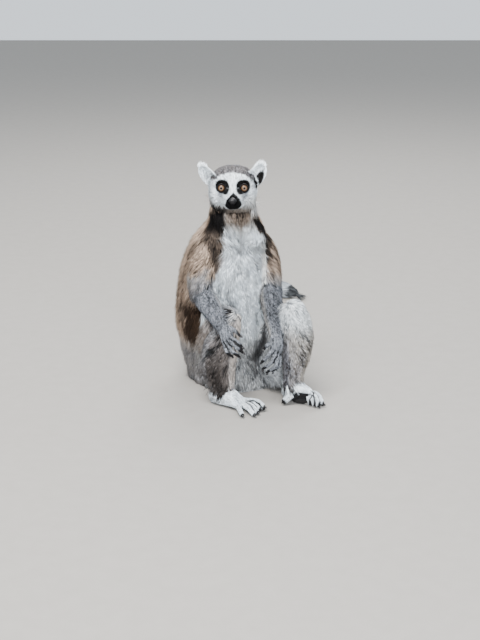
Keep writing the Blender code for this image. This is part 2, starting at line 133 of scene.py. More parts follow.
# The left ear's hollow: its middle, the way it runs, its half length and its half width.
EAR_HOLLOW = ((0.0412, 0.0084), (0.0136, 0.0255), (0.0170, 0.0068))

# The lengths of the tail's grey root and black tip.
TAIL_ROOT = 0.035
TAIL_TIP = 0.026

# How far the lids lie over the eyeball and the skin between them lies under it, and how
# thick the lids' rims are.
LID_OVER = 0.0007
LID_UNDER = 0.0022
LID_THICKNESS = 0.0017

# Where the coat is parted into pieces: how far behind the eyes the face's ends, and how far
# round the trunk the front's does, in degrees.
FACE_COAT_DEPTH = 0.018
FRONT_COAT_ANGLE = 85

# Lines of painted shade where the left thigh meets the trunk and in the folds of the lap below
# them, each with how far its shade reaches.
GROIN_SHADE = (
    (0.0440, -0.0600, 0.1180),
    (0.0467, -0.0815, 0.0975),
    (0.0400, -0.0720, 0.0770),
    (0.0290, -0.0650, 0.0610),
)
OUTER_FOLD_SHADE = ((0.0270, -0.0648, 0.0601), (0.0371, -0.0736, 0.0525), (0.0440, -0.0780, 0.0380))
INNER_FOLD_SHADE = ((0.0150, -0.0660, 0.0620), (0.0270, -0.0680, 0.0420), (0.0340, -0.0660, 0.0200))
CREASE_SHADES = ((GROIN_SHADE, 0.011), (OUTER_FOLD_SHADE, 0.006), (INNER_FOLD_SHADE, 0.005))

# The nodes of the trunk, and those that fold on each other at the lap.
TRUNK = ("neck", "chest", "belly", "rump")
LAP = ("rump", "belly", "thigh_left")

# The trunk's middle line, as height with x or y, and how far its front is turned from -Y,
# in degrees.
TRUNK_MIDDLE_X = (
    (0.0, -0.001),
    (0.045, -0.011),
    (0.085, -0.019),
    (0.155, -0.0225),
    (0.215, -0.018),
    (0.256, -0.007),
    (0.30, -0.004),
)
TRUNK_MIDDLE_Y = ((0.0, 0), (0.155, 0), (0.215, -0.008), (0.256, -0.016), (0.30, -0.027))
FRONT_YAW = 22

# The whorl that the hair of the chest runs in to and out from.
WHORL = (0.0084, -0.0567, 0.2560)

# The trunk's colours by height: the angle, right and left, at which the white front ends,
# and how far the dark band beside it reaches round.
FRONT_HEIGHTS = (0.08, 0.16, 0.200, 0.216, 0.235, 0.256, 0.267, 0.285, 0.302, 0.330)
FRONT_ENDS = {
    "right": (56, 48, 36, 32, 33, 42, 47, 44, 44, 46),
    "left": (66, 62, 52, 54, 60, 62, 50, 38, 31, 31),
}
BAND_WIDTHS = {
    "right": (0, 0, 3, 10, 22, 34, 46, 56, 62, 66),
    "left": (0, 0, 3, 10, 16, 24, 30, 36, 42, 46),
}

# The inner edge of the right upper arm, as height and x.
RIGHT_ARM_EDGE = ((0.19, -0.030), (0.223, -0.035), (0.243, -0.043), (0.262, -0.058))

# For each limb, roughly the way down it, and what is added to its own line so that the coat
# sweeps aside, back and down.
LIMB_LIE = {
    "thigh": ((0, -0.6, 0.6), (0.9, 0.7, -1.6)),
    "shin": ((0, 0.25, -1), (0.75, 0.55, -0.1)),
    "upper_arm": ((0, -0.2, -1), (0.60, 0.35, -0.2)),
    "forearm": ((0, -1, -0.5), (0.30, 0.0, -0.25)),
    "hand": ((0, -0.4, -1), (0, 0, 0)),
    "foot": ((0.3, -1, 0), (0, 0, 0)),
}

# The middle line of the tail, from its root to its tip.
TAIL_LINE = (
    (-0.018, 0.060, 0.032),
    (-0.010, 0.110, 0.022),
    (0.018, 0.165, 0.0205),
    (0.034, 0.225, 0.021),
    (0.015, 0.285, 0.021),
    (-0.025, 0.335, 0.0215),
    (-0.048, 0.395, 0.0215),
    (-0.025, 0.450, 0.0215),
    (0.030, 0.476, 0.021),
    (0.082, 0.474, 0.019),
    (0.115, 0.464, 0.014),
    (0.128, 0.458, 0.008),
)

# Depth of the coat, then length and half width of its tufts, in millimetres, and tufts
# per square centimetre. The head's own vary over it, in face_depth and tuft_sizes.
COAT = {
    "rump": (15, 34, 0.95, 33),
    "belly": (12, 32, 0.88, 38),
    "chest": (11, 32, 0.88, 38),
    "neck": (12, 27, 0.82, 40),
    "tail": (13.5, 27, 1.00, 30),
    "thigh": (10, 30, 0.88, 35),
    "shin": (7, 23, 0.82, 41),
    "upper_arm": (8, 28, 0.87, 40),
    "forearm": (4.5, 12, 0.65, 66),
    "hand": (1.4, 5.5, 0.42, 130),
    "foot": (1.8, 7, 0.5, 105),
    "digit": (0.7, 3.6, 0.36, 140),
    "head": (5, 10, 0.55, 100),
    "muzzle": (1.8, 4.5, 0.4, 150),
    "ear": (0.8, 7, 0.45, 130),
}

# How the rings of a tuft narrow towards its tip, and the least and most that its length and
# its width vary by.
TAPER = (1.0, 0.72)
LENGTH_SPREAD = (0.72, 1.22)
WIDTH_SPREAD = (0.75, 1.3)

# How far the lie strays for each tuft, for each lock and in soft waves.
STRAY = (0.05, 0.07, 0.13)

# The least heights over the floor: the coat's outside, the skin, tufts, nails and the dark pad
# that stands in for the shadow under the left foot's arch.
OUTER_FLOOR = 0.0006
SKIN_FLOOR = 0.0012
TUFT_FLOOR = 0.0008
NAIL_FLOOR = 0.0004
SOLE_FLOOR = 0.0005

# The coat's colours are mixed over white in this order.
MASKS = ("cream", "grey", "taupe", "rust", "charcoal", "black")


def base_of(name):
    """A node's name without its side."""
    return name.removesuffix("_right").removesuffix("_left")


def palm_of(name):
    """The hand or the foot that a digit belongs to."""
    return ("hand_" if base_of(name) in HAND else "foot_") + name.rpartition("_")[2]


def digits_of(palm):
    """The digits of a hand or a foot."""
    base, side = palm.split("_")
    return of_side(FINGERS if base == "hand" else TOES, side)


def kind_of(name):
    """The coat table's row for a CAD node."""
    base = base_of(name)
    if base in FINGERS or base in TOES:
        return "digit"
    return "tail" if base.startswith("tail") else base


def owned(owners):
    """Each node that owns some places: its name, kind and sign of its side, and which."""
    for k, name in enumerate(FLESH):
        mine = owners == k
        if mine.any():
            yield name, kind_of(name), -1 if name.endswith("_right") else 1, mine


def kinds_at(owners):
    return np.array([kind_of(name) for name in FLESH])[owners]


# ---------------------------------------------------------------- settings
def colour(name, default, description):
    return FloatVectorProperty(
        name=name,
        description=description,
        default=default,
        size=3,
        min=0.0,
        max=1.0,
        subtype="COLOR",
    )


def length(name, default, description):
    return FloatProperty(
        name=name,
        description=description,
        default=default,
        min=0.0,
        unit="LENGTH",
        precision=5,
    )


class LemurColours(PropertyGroup):
    """Colours of the coat, the skin and the eyes."""

    white: colour("White", (0.86, 0.90, 0.92), "Face, ears, chest and belly")
    cream: colour("Cream", (0.44, 0.378, 0.295), "Fringes at the armpits and knees")
    grey: colour("Grey", (0.108, 0.114, 0.131), "Crown, forearms and shins")
    taupe: colour("Taupe", (0.295, 0.222, 0.170), "Back and upper arms")
    # Rusty brown of the lower flank, made dark as painted shade beside the right arm and leg.
    rust: colour("Rust", (0.016, 0.0076, 0.0038), "Lower flanks")
    # Charcoal also paints shade: in the groin, the folds of the lap and chest, under the chin
    # and low on the shins.
    charcoal: colour("Charcoal", (0.0060, 0.0054, 0.0056), "Sides of the neck")
    # Black also paints shade between the digits and in the left foot's arch.
    black: colour("Black", (0.0020, 0.0019, 0.0022), "Eye patches, muzzle and rings")
    leather: colour("Leather", (0.0030, 0.0028, 0.0033), "Nose, palms, soles and nails")
    iris: colour("Iris", (0.088, 0.045, 0.019), "The eye's coloured ring")


class LemurSizes(PropertyGroup):
    """Sizes of the skin, the eyes and the nails."""

    body_step: length("Body step", 0.0030, "Spacing of the skin's mesh on the body")
    fine_step: length("Fine step", 0.0011, "Spacing on the head, the hands and the feet")
    iris_radius: length("Iris radius", 0.0052, "Radius of the coloured ring")
    pupil_radius: length("Pupil radius", 0.0018, "Radius of the pupil")
    lid_width: length("Lid width", 0.0068, "Half the opening of the lids, side to side")
    lid_height: length("Lid height", 0.0056, "Half the opening of the lids, up and down")
    nail_length: length("Nail length", 0.0052, "Length of a nail")
    ring_length: length("Ring length", 0.0215, "Length of one ring of the tail")


class LemurCoat(PropertyGroup):
    """How the coat is laid."""

    fullness: FloatProperty(
        name="Fullness",
        description="Factor on the number of tufts",
        default=1.0,
        min=0.1,
        max=1.3,
        subtype="FACTOR",
    )
    clumping: FloatProperty(
        name="Clumping",
        description="How far neighbouring tufts draw together at their tips",
        default=0.45,
        min=0.0,
        max=1.0,
        subtype="FACTOR",
    )
    seed: IntProperty(name="Seed", description="Start of the random numbers", default=7)


# ---------------------------------------------------------------- arrays and meshes
def unit(vectors):
    size = np.linalg.norm(vectors, axis=-1, keepdims=True)
    return vectors / np.maximum(size, 1e-12)


def vertex_places(mesh):
    places = np.empty(len(mesh.vertices) * 3)
    mesh.vertices.foreach_get("co", places)
    return places.reshape(-1, 3)


def vertex_normals(mesh):
    normals = np.empty(len(mesh.vertices) * 3, dtype=np.float32)
    mesh.vertex_normals.foreach_get("vector", normals)
    return normals.reshape(-1, 3).astype(float)


def edge_ends(mesh):
    ends = np.empty(len(mesh.edges) * 2, dtype=np.int32)
    mesh.edges.foreach_get("vertices", ends)
    return ends.reshape(-1, 2)


def set_places(mesh, places):
    mesh.vertices.foreach_set("co", np.ascontiguousarray(places, dtype=np.float32).ravel())
    mesh.update()


def spread(values, edges, times, strength=0.5):
    """Averages a value per vertex with its neighbours, as many times as asked."""
    count = len(values)
    flat = values.reshape(count, -1).astype(float)
    a, b = edges.T
    degree = np.maximum(np.bincount(edges.ravel(), minlength=count), 1)[:, None]
    for _ in range(times):
        total = np.stack(
            [
                np.bincount(a, column[b], count) + np.bincount(b, column[a], count)
                for column in flat.T
            ],
            axis=1,
        )
        flat = flat + strength * (total / degree - flat)
    return flat.reshape(values.shape)


def keep_shape_smooth(places, edges, times):
    """Smooths places without shrinking them."""
    for _ in range(times):
        places = spread(places, edges, 1, 0.5)
        places = spread(places, edges, 1, -0.52)
    return places


def keep(mesh, name, values):
    """Stores a value or a vector per vertex under a name."""
    kind, field = ("FLOAT_VECTOR", "vector") if values.ndim == 2 else ("FLOAT", "value")
    layer = mesh.attributes.get(name) or mesh.attributes.new(name, kind, "POINT")
    layer.data.foreach_set(field, np.ascontiguousarray(values, dtype=np.float32).ravel())


def kept(mesh, name):
    layer = mesh.attributes[name]
    wide = layer.data_type == "FLOAT_VECTOR"
    values = np.empty(len(mesh.vertices) * (3 if wide else 1), dtype=np.float32)
    layer.data.foreach_get("vector" if wide else "value", values)
    return values.reshape(-1, 3).astype(float) if wide else values.astype(float)


def smoothstep(low, high, values):
    t = np.clip((values - low) / (high - low), 0, 1)
    return t * t * (3 - 2 * t)


def wave_noise(places, size, seed):
    """Soft noise from -1 to 1 whose features are about size across."""
    rng = np.random.default_rng(seed)
    total = np.zeros(len(places))
    for _ in range(7):
        way = rng.normal(size=3)
        way *= 2 * math.pi / (size * 2) / np.linalg.norm(way) * rng.uniform(0.6, 1.5)
        total += np.sin(places @ way + rng.uniform(0, 2 * math.pi))
    return total / 3.2


def wave_warp(places, size, seed):
    """Soft noise along each axis."""
    return np.stack([wave_noise(places, size, seed + k) for k in range(3)], axis=1)


def oval(x, z, spot):
    """How far out of an oval's middle a place lies: 1 at its rim."""
    middle_x, middle_z, half_x, half_z = spot
    return np.hypot((x - middle_x) / half_x, (z - middle_z) / half_z)


def node_places(name):
    return vertex_places(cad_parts[name].data)


def node_centre(name):
    low, high = (np.array(corner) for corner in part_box(name))
    return (low + high) / 2


def long_axis(name, towards):
    """The long way of a node, pointing towards a place or along a rough direction."""
    places = node_places(name)
    spread_out = places - places.mean(axis=0)
    axis = np.linalg.svd(spread_out, full_matrices=False)[2][0]
    return axis if axis @ towards >= 0 else -axis


def tree_of(names):
    """A search tree over nodes' faces and the node of each face."""
    places, faces, owners = [], [], []
    for k, name in enumerate(names):
        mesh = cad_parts[name].data
        start = len(places)
        places.extend(v.co for v in mesh.vertices)
        for face in mesh.polygons:
            faces.append([start + i for i in face.vertices])
            owners.append(k)
    return BVHTree.FromPolygons(places, faces), np.array(owners)


def link(obj):
    bpy.context.scene.collection.objects.link(obj)
    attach(obj, "root")


# ---------------------------------------------------------------- the skin's form
# How far the solids grow before they are fused, and the gap that still counts as touching.
BODY_GROWTH = 0.0005
HEAD_GROWTH = 0.0003
TOUCHING = 0.0022


def grown_copy(name, growth, parent=None, reach=0.0):
    """A node's shape, grown a little and, at its root, pushed into the one that carries it."""
    bm = bmesh.new()
    bm.from_mesh(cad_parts[name].data)
    bmesh.ops.remove_doubles(bm, verts=bm.verts, dist=1e-5)
    bm.normal_update()
    for v in bm.verts:
        v.co = v.co + v.normal * growth
    if parent:
        tree, _ = tree_of([parent])
        centre = Vector(node_centre(parent))
        for v in bm.verts:
            if tree.find_nearest(v.co)[3] < TOUCHING + growth:
                v.co = v.co + (centre - v.co).normalized() * reach
    return bm


def fused(label, pieces, step, rounds):
    """One closed, smoothed mesh around several grown pieces."""
    joined = bpy.data.meshes.new(label)
    together = bmesh.new()
    for bm in pieces:
        part = bpy.data.meshes.new("part")
        bm.to_mesh(part)
        bm.free()
        together.from_mesh(part)
        bpy.data.meshes.remove(part)
    together.to_mesh(joined)
    together.free()
    obj = bpy.data.objects.new(label, joined)
    bpy.context.scene.collection.objects.link(obj)
    remesh = obj.modifiers.new("fuse", "REMESH")
    remesh.mode = "VOXEL"
    remesh.voxel_size = step
    graph = bpy.context.evaluated_depsgraph_get()
    mesh = bpy.data.meshes.new_from_object(obj.evaluated_get(graph))
    bpy.data.objects.remove(obj)
    set_places(mesh, keep_shape_smooth(vertex_places(mesh), edge_ends(mesh), rounds))
    return mesh


def skin_groups(sizes):
    """The fused forms: body, head, hands and feet, each with its name and its growth."""
    body = [grown_copy(name, BODY_GROWTH) for name in BODY_NODES if name != "neck"]
    body.append(grown_copy("neck", BODY_GROWTH, "head", 0.012))
    yield "body", fused("body", body, sizes.body_step, 10), BODY_GROWTH
    head = [grown_copy(name, HEAD_GROWTH) for name in ("head", "muzzle")]
    head += [grown_copy(name, 0.0001, "head", 0.003) for name in of_both("ear")]
    yield "head", fused("head", head, sizes.fine_step, 4), HEAD_GROWTH
    for side in SIDES:
        for end, carrier in (("hand", "forearm"), ("foot", "shin")):
            palm = f"{end}_{side}"
            pieces = [grown_copy(palm, 0.0001, f"{carrier}_{side}", 0.007)]
            pieces += [grown_copy(digit, -0.0001, palm, 0.0035) for digit in digits_of(palm)]
            yield palm, fused(palm, pieces, sizes.fine_step * 0.9, 3), 0.0


# ---------------------------------------------------------------- anatomy on the skin
def face_place(places):
    """Aside, forward and up of the point midway between the eyes."""
    return places[:, 0] - FACE.x, FACE.y - places[:, 1], places[:, 2] - FACE.z


def trunk_angle(places):
    """The angle round the trunk from its front, positive to the animal's left, degrees."""
    yaw = math.radians(FRONT_YAW)
    x = places[:, 0] - np.interp(places[:, 2], *zip(*TRUNK_MIDDLE_X))
    y = places[:, 1] - np.interp(places[:, 2], *zip(*TRUNK_MIDDLE_Y))
    aside = x * math.cos(yaw) + y * math.sin(yaw)
    front = x * math.sin(yaw) - y * math.cos(yaw)
    return np.degrees(np.arctan2(aside, front))


def tail_samples():
    """Close points on the tail's middle line, their directions and their distance along."""
    line = np.array(TAIL_LINE)
    points = []
    for k in range(len(line) - 1):
        a, b = line[max(k - 1, 0)], line[k]
        c, d = line[k + 1], line[min(k + 2, len(line) - 1)]
        u = np.linspace(0, 1, 24, endpoint=False)[:, None]
        points.append(
            0.5
            * (
                2 * b
                + (c - a) * u
                + (2 * a - 5 * b + 4 * c - d) * u**2
                + (3 * b - a - 3 * c + d) * u**3
            )
        )
    points = np.concatenate([*points, line[-1:]])
    along = np.concatenate([[0], np.cumsum(np.linalg.norm(np.diff(points, axis=0), axis=1))])
    return points, unit(np.gradient(points, axis=0)), along


def tail_place(places):
    """For places on the tail: its direction there and the distance along it."""
    points, ways, along = tail_samples()
    nearest = np.empty(len(places), dtype=int)
    for start in range(0, len(places), 4000):
        block = places[start : start + 4000, None, :] - points[None]
        nearest[start : start + 4000] = (block**2).sum(axis=2).argmin(axis=1)
    return ways[nearest], along[nearest]


def lie_of_coat(places, owners):
    """The way the coat lies at each place, before it is laid along the surface."""
    lie = np.empty((len(places), 3))
    for name, kind, side, mine in owned(owners):
        if kind == "tail":
            lie[mine] = tail_place(places[mine])[0]
        elif kind == "digit":
            lie[mine] = long_axis(name, node_centre(name) - node_centre(palm_of(name)))
        elif kind == "ear":
            lie[mine] = long_axis(name, node_centre(name) - node_centre("head"))
        elif kind in LIMB_LIE:
            down, sweep = LIMB_LIE[kind]
            lie[mine] = long_axis(name, down) + np.array(sweep) * (side, 1, 1)
        elif kind in ("head", "muzzle"):
            lie[mine] = lie_of_head(places[mine])
        else:
            lie[mine] = lie_of_trunk(places[mine])
    return lie


def lie_of_head(places):
    """Back from the nose, and down on the chin and the cheeks."""
    nose = node_centre("nose") + (0, 0, -0.004)
    low = smoothstep(-0.012, -0.034, face_place(places)[2])[:, None]
    return unit(places - nose) * (1 - 0.35 * low) + low * np.array((0, 0.2, -0.7))


def lie_of_trunk(places):
    """Down the body, drawn in from the neck to the whorl of the chest and out below it."""
    turn = np.radians(trunk_angle(places))
    count = len(places)
    high = smoothstep(0.245, 0.285, places[:, 2])
    fan = 0.34 * np.sin(turn) * (1 - high)
    lie = np.stack([fan, 0.25 * (1 - np.cos(turn)) / 2, -np.ones(count)], 1)
    inward = high * np.exp(-(((np.abs(np.degrees(turn)) - 60) / 40) ** 2))
    lie[:, 0] -= 0.9 * inward * np.sign(turn)
    lie[:, 1] -= 0.45 * inward
    off = places - np.array(WHORL)
    reach = np.linalg.norm(off, axis=1, keepdims=True)
    above = smoothstep(-0.004, 0.006, off[:, 2])[:, None]
    near = np.exp(-((reach / 0.034) ** 2))
    return unit(lie) * (1 - near) + 1.3 * near * unit(off) * (1 - 2 * above)


def head_marks(places):
    """The eyes' patches, the muzzle, the grey cap, smudges, the chin's painted shade and the
    ear's hollow.
    """
    aside, forward, up = face_place(places)
    side = np.abs(aside)
    middle_x, middle_z, half_x, half_z = EYE_PATCH
    patch = np.abs((side - middle_x) / half_x) ** 2.3 + np.abs((up - middle_z) / half_z) ** 2.3
    eyes = smoothstep(1.20, 0.86, patch) * (forward > -0.012)
    half = np.interp(-up, *zip(*MUZZLE_EDGE))
    muzzle = smoothstep(0.0006, -0.0008, np.abs(aside - 0.0010) - half)
    muzzle *= (up > -MUZZLE_EDGE[-1][0]) * (forward > 0.019)
    edge = np.interp(side, *zip(*CAP_EDGE)) + 0.0006 * wave_noise(places, 0.004, 5)
    cap = smoothstep(-0.0008, 0.0010, up - edge) * (forward > -0.032)
    nape = smoothstep(-0.022, -0.030, forward) * smoothstep(-0.035, -0.015, up)
    smudge = 0.75 * smoothstep(1.1, 0.25, oval(side, up, CHEEK_SMUDGE)) * (forward > -0.01)
    flank = 0.38 * smoothstep(0.026, 0.033, side) * smoothstep(-0.012, 0.004, up)
    hollow = ear_hollow(places, 1.15) * (forward < -0.008) * smoothstep(-0.026, -0.019, forward)
    marks = chin_marks(places)
    return {
        "cream": marks["cream"],
        "grey": np.maximum.reduce([cap, nape, smudge, flank, marks["grey"]]),
        "taupe": np.maximum(0.16 * cap, marks["taupe"]),
        "charcoal": np.maximum.reduce([0.42 * cap, hollow, marks["charcoal"]]),
        "black": np.maximum(eyes, muzzle),
    }


def ear_marks(places, outward, side):
    """The left ear's dark hollow, or painted shade at the root of the right ear."""
    if side > 0:
        return {"charcoal": ear_hollow(places) * (outward[:, 1] < -0.1)}
    aside, _, up = face_place(places)
    # Painted shade where the right ear's root meets the head.
    root = smoothstep(-0.052, -0.041, aside) * smoothstep(0.026, 0.014, up)
    return {"grey": 0.42 * root * (outward[:, 1] < 0.1)}


def by_side(left, height, table):
    """A number by height from the table of the side that each place lies on."""
    ends = {side: np.interp(height, FRONT_HEIGHTS, table[side]) for side in SIDES}
    return np.where(left, ends["left"], ends["right"])


def trunk_marks(angle, spots):
    """The trunk's masks: white front, dark bands beside it, brown back, a rusty flank darkened
    as painted shade, and painted shade in the chest's folds and under the chin.
    """
    height = spots[:, 2]
    round_to = np.abs(angle)
    left = angle > 0
    out = round_to - by_side(left, height, FRONT_ENDS)
    back = smoothstep(-4, 5, out)
    front = 1 - back
    band = back * smoothstep(6, -8, out - by_side(left, height, BAND_WIDTHS))
    band *= smoothstep(0.195, 0.215, height)
    band *= np.where(left, smoothstep(0.303, 0.292, height), smoothstep(0.313, 0.303, height))
    band *= np.where(left, 1.0, 1 - 0.22 * smoothstep(0.280, 0.262, height))
    nape = smoothstep(115, 145, round_to) * smoothstep(0.24, 0.30, height)
    # Rusty brown flank, darkened as painted shade beside the right arm and leg.
    rust = smoothstep(0.168, 0.138, height) * smoothstep(0.072, 0.092, height)
    rust *= back * smoothstep(90, 74, round_to) * ~left
    collar = smoothstep(0.292, 0.304, height) * smoothstep(125, 100, round_to) * left
    throat = smoothstep(0.262, 0.300, height) * front
    middle = smoothstep(62, 18, np.abs(angle + 4)) * smoothstep(0.272, 0.298, height)
    low = smoothstep(0.095, 0.06, height)
    lap = smoothstep(0.100, 0.070, height) * front
    # Painted shade in slanting folds of the white chest.
    slant = np.stack([0.10 * spots[:, 0], 0 * height, height + 0.5 * spots[:, 0]], axis=1)
    folds = smoothstep(0.15, 0.6, wave_noise(slant, 0.0042, 41)) * front
    folds *= smoothstep(0.232, 0.242, height) * smoothstep(0.276, 0.262, height)
    folds *= smoothstep(-75, -60, angle) * smoothstep(16, 0, angle)
    upper = smoothstep(0.17, 0.21, height) * front
    greys = (nape, 0.80 * low * back, 0.48 * lap, 0.35 * collar, 0.12 * upper, 0.30 * throat)
    brown = back * (1 - 0.8 * low) * (1 - 0.90 * collar)
    return {
        "cream": 0.75 * throat + 0.40 * collar + 0.40 * lap,
        "grey": np.maximum.reduce(greys),
        "taupe": np.maximum(brown, 0.95 * throat * middle),
        "rust": 0.95 * rust,
        # Under the chin the throat's middle is partly grey-beige and partly painted shade of the
        # head.
        "charcoal": np.maximum.reduce([band, 0.62 * throat * middle, 0.60 * folds]),
        "black": 0.35 * band * ~left,
    }


def arm_marks(spots, outward, side):
    """Brown upper arm with a dark inner edge, turning grey towards the elbow."""
    x, height = spots[:, 0], spots[:, 2]
    if side < 0:
        dark = smoothstep(-0.004, 0.004, x - np.interp(height, *zip(*RIGHT_ARM_EDGE)))
        pale = dark * smoothstep(0.212, 0.200, height)
    else:
        pale = smoothstep(0.0520, 0.0480, x)
        dark = smoothstep(0.0475, 0.0505, x) * smoothstep(0.0640, 0.0570, x)
    dark = dark * smoothstep(0.202, 0.216, height) * smoothstep(0.25, -0.25, outward[:, 1])
    blur = wave_noise(spots, 0.016, 61) * 0.008 + 0.25 * spots[:, 1] + 0.012
    grey = smoothstep(0.206, 0.174, height + blur)
    return {
        "taupe": (1 - 0.9 * grey) * (1 - pale),
        "grey": 0.9 * grey * (1 - pale),
        "charcoal": np.maximum(0.90 * dark, (0.34 if side > 0 else 0.06) * (1 - pale)),
        "cream": 0.45 * pale,
    }


def forearm_marks(spots, outward, side):
    """Peppered grey forearm with a cream inner edge."""
    inner = smoothstep(0.45, 0.9, -side * outward[:, 0])
    return {
        "cream": 0.70 * inner,
        "grey": 0.95 - 0.35 * inner,
        "charcoal": 0.33 + 0.05 * side + 0.14 * wave_noise(spots, 0.007, 17),
    }


def end_marks(spots, kind, hand):
    """Grey hands and fingers, and nearly white feet and toes."""
    if not hand:
        return {"grey": 0.12 + 0.14 * wave_noise(spots, 0.006, 29)}
    dark = 0.16 if kind == "hand" else 0.04
    return {
        "grey": np.full(len(spots), 0.92),
        "charcoal": dark + 0.10 * wave_noise(spots, 0.006, 19),
    }


def tail_marks(spots, ring_length):
    """The tail's rings, its grey root and its black tip."""
    along, total = tail_place(spots)[1], tail_samples()[2][-1]
    phase = ((total - TAIL_TIP - along) / ring_length) % 2.0
    ring = smoothstep(0.93, 1.07, phase) * smoothstep(2.0, 1.86, phase)
    root, end = along < TAIL_ROOT, along > total - TAIL_TIP
    return {
        "black": np.where(end, 0.35, np.where(root, 0.0, ring)),
        "charcoal": np.where(end, 0.75, 0.0),
        "grey": np.where(root, 0.6, 0.52),
    }


def thigh_marks(spots, outward, side):
    """Grey-brown right thigh and paler left one, with a line of painted shade along the left
    groin.
    """
    across = side * outward[:, 0]
    outer, inner = smoothstep(0.30, 0.85, across), smoothstep(-0.25, -0.75, across)
    brown = outer * smoothstep(0.03, 0.09, spots[:, 2])
    return {
        "cream": 0.25,
        "grey": (0.75 if side < 0 else 0.55) * (1 - 0.6 * inner) + 0.35 * inner,
        "taupe": (0.45 if side < 0 else 0.15) * brown,
        # Painted shade along the groin, where the thigh meets the trunk.
        "charcoal": 0.90 * smoothstep(0.015, 0.006, off_line(spots, GROIN_SHADE)),
    }


def shin_marks(spots, outward, side):
    """Grey right shin with a cream inner edge and a bare knee, and a cream-white left one, both
    with painted shade towards the foot.
    """
    across = side * outward[:, 0]
    outer, inner = smoothstep(0.30, 0.85, across), smoothstep(-0.25, -0.75, across)
    height = spots[:, 2]
    # low darkens both shins towards the foot as painted shade.
    low = smoothstep(0.115, 0.05, height)
    if side > 0:
        knee = smoothstep(0.100, 0.140, height)
        return {
            "cream": 0.85 * (1 - 0.8 * knee),
            "grey": 0.52 + 0.30 * inner + 0.35 * low * (1 - outer) - 0.46 * knee,
            "taupe": 0.12 * low,
            "charcoal": 0.35 * smoothstep(0.045, 0.030, height),
        }
    knee = smoothstep(0.130, 0.150, height)
    spot = smoothstep(1.25, 0.75, oval(spots[:, 0], height, KNEE_SPOT))
    middle = (1 - 0.56 * outer) * smoothstep(-0.85, -0.20, across)
    return {
        "cream": 0.50 * inner,
        "grey": (0.90 - 0.06 * outer) * (1 - 0.50 * inner) * (1 - 0.55 * knee),
        "taupe": (0.35 + 0.15 * low) * (1 - 0.6 * outer) * (1 - inner) + 0.42 * inner,
        "charcoal": np.maximum(spot, (0.60 + 0.28 * low) * middle * (1 - knee)),
    }


def off_line(places, line):
    """The distance of each place from a line of straight stretches."""
    best = np.full(len(places), 1.0)
    line = np.array(line)
    for start, end in zip(line, line[1:]):
        way = end - start
        share = np.clip((places - start) @ way / (way @ way), 0, 1)[:, None]
        best = np.minimum(best, np.linalg.norm(places - start - share * way, axis=1))
    return best


def digit_lines(palm):
    """For each digit of a hand or foot, its middle line from root to tip."""
    lines = []
    for name in digits_of(palm):
        places = node_places(name)
        reach = places @ long_axis(name, node_centre(name) - node_centre(palm))
        cuts = np.quantile(reach, (0, 0.25, 0.5, 0.75, 1))
        quarters = [(reach >= low) & (reach <= high) for low, high in zip(cuts, cuts[1:])]
        lines.append([places[quarter].mean(axis=0) for quarter in quarters])
    return lines


def shade_between_digits(places, palm):
    """Painted shade: 1 in the gaps between neighbouring digits, 0 on their backs."""
    reach = np.sort([off_line(places, line) for line in digit_lines(palm)], axis=0)
    wide, narrow = (0.0026, 0.0012) if palm.startswith("hand") else (0.0017, 0.0006)
    return smoothstep(wide, narrow, reach[1] - reach[0]) * smoothstep(0.0090, 0.0060, reach[0])


def bare_marks(name, spots, outward):
    """Dark skin of a hand or foot: palm or sole and the digits' tips, with painted shade in the
    gaps between digits.
    """
    base, palm = base_of(name), palm_of(name)
    hand = base in HAND
    facing_out = outward @ np.array((0, -0.75, 0.65) if hand else (0, 0, 1.0))
    if base == "foot":
        sole = smoothstep(-0.90, -0.98, facing_out)
        if name == "foot_right":
            return sole
        # The left foot's arch is painted black: partly its dark sole, partly the shade of its
        # hollow.
        arch = smoothstep(0.0262, 0.0242, spots[:, 2])
        return np.maximum(sole, arch * smoothstep(0.0870, 0.0910, spots[:, 0]))
    # Painted shade in the gaps between the digits.
    gap = shade_between_digits(spots, palm)
    if base == "hand":
        return np.maximum(smoothstep(-0.60, -0.85, facing_out), 0.9 * gap)
    under, tip = ((-0.15, -0.50), 0.0060) if hand else ((-0.30, -0.60), 0.0036)
    reach = np.linalg.norm(spots - node_centre(palm), axis=1)
    tips = smoothstep(reach.max() - tip - 0.002, reach.max() - tip, reach)
    gap = (1.0 if hand else 0.95) * gap
    return np.maximum.reduce([smoothstep(*under, facing_out), tips, gap])


def chin_marks(places):
    """Grey-beige of the chin and of the lower cheeks, where they pass into the neck, darkened as
    painted shade.
    """
    aside, forward, up = face_place(places)
    limit = np.interp(aside, *zip(*CHIN_EDGE)) + 0.0012 * wave_noise(places, 0.005, 23)
    under = smoothstep(limit + 0.0025, limit - 0.0020, up)
    under *= smoothstep(0.040, 0.030, forward) * smoothstep(-0.044, -0.038, aside)
    cheek = smoothstep(0.010, 0.026, aside) * smoothstep(-0.008, -0.024, up)
    return {
        "charcoal": under * np.interp(aside, CHIN_STATIONS, CHIN_SHADE_CHARCOAL),
        "taupe": under * np.interp(aside, CHIN_STATIONS, CHIN_TAUPE),
        "cream": np.maximum(0.5 * under * smoothstep(-0.004, 0.014, aside), 0.26 * cheek),
        "grey": 0.25 * under * smoothstep(0.004, 0.020, aside),
    }


def ear_hollow(places, wider=1.0):
    """1 in the left ear's dark hollow, which opens towards the cheek."""
    aside, _, up = face_place(places)
    middle, way, (half_run, half_width) = EAR_HOLLOW
    way = np.array(way) / math.hypot(*way)
    off = np.stack([aside - middle[0], up - middle[1]], 1)
    run, width = off @ way, off @ (-way[1], way[0])
    return smoothstep(1.10, 0.85, np.hypot(run / half_run, width / (half_width * wider)))


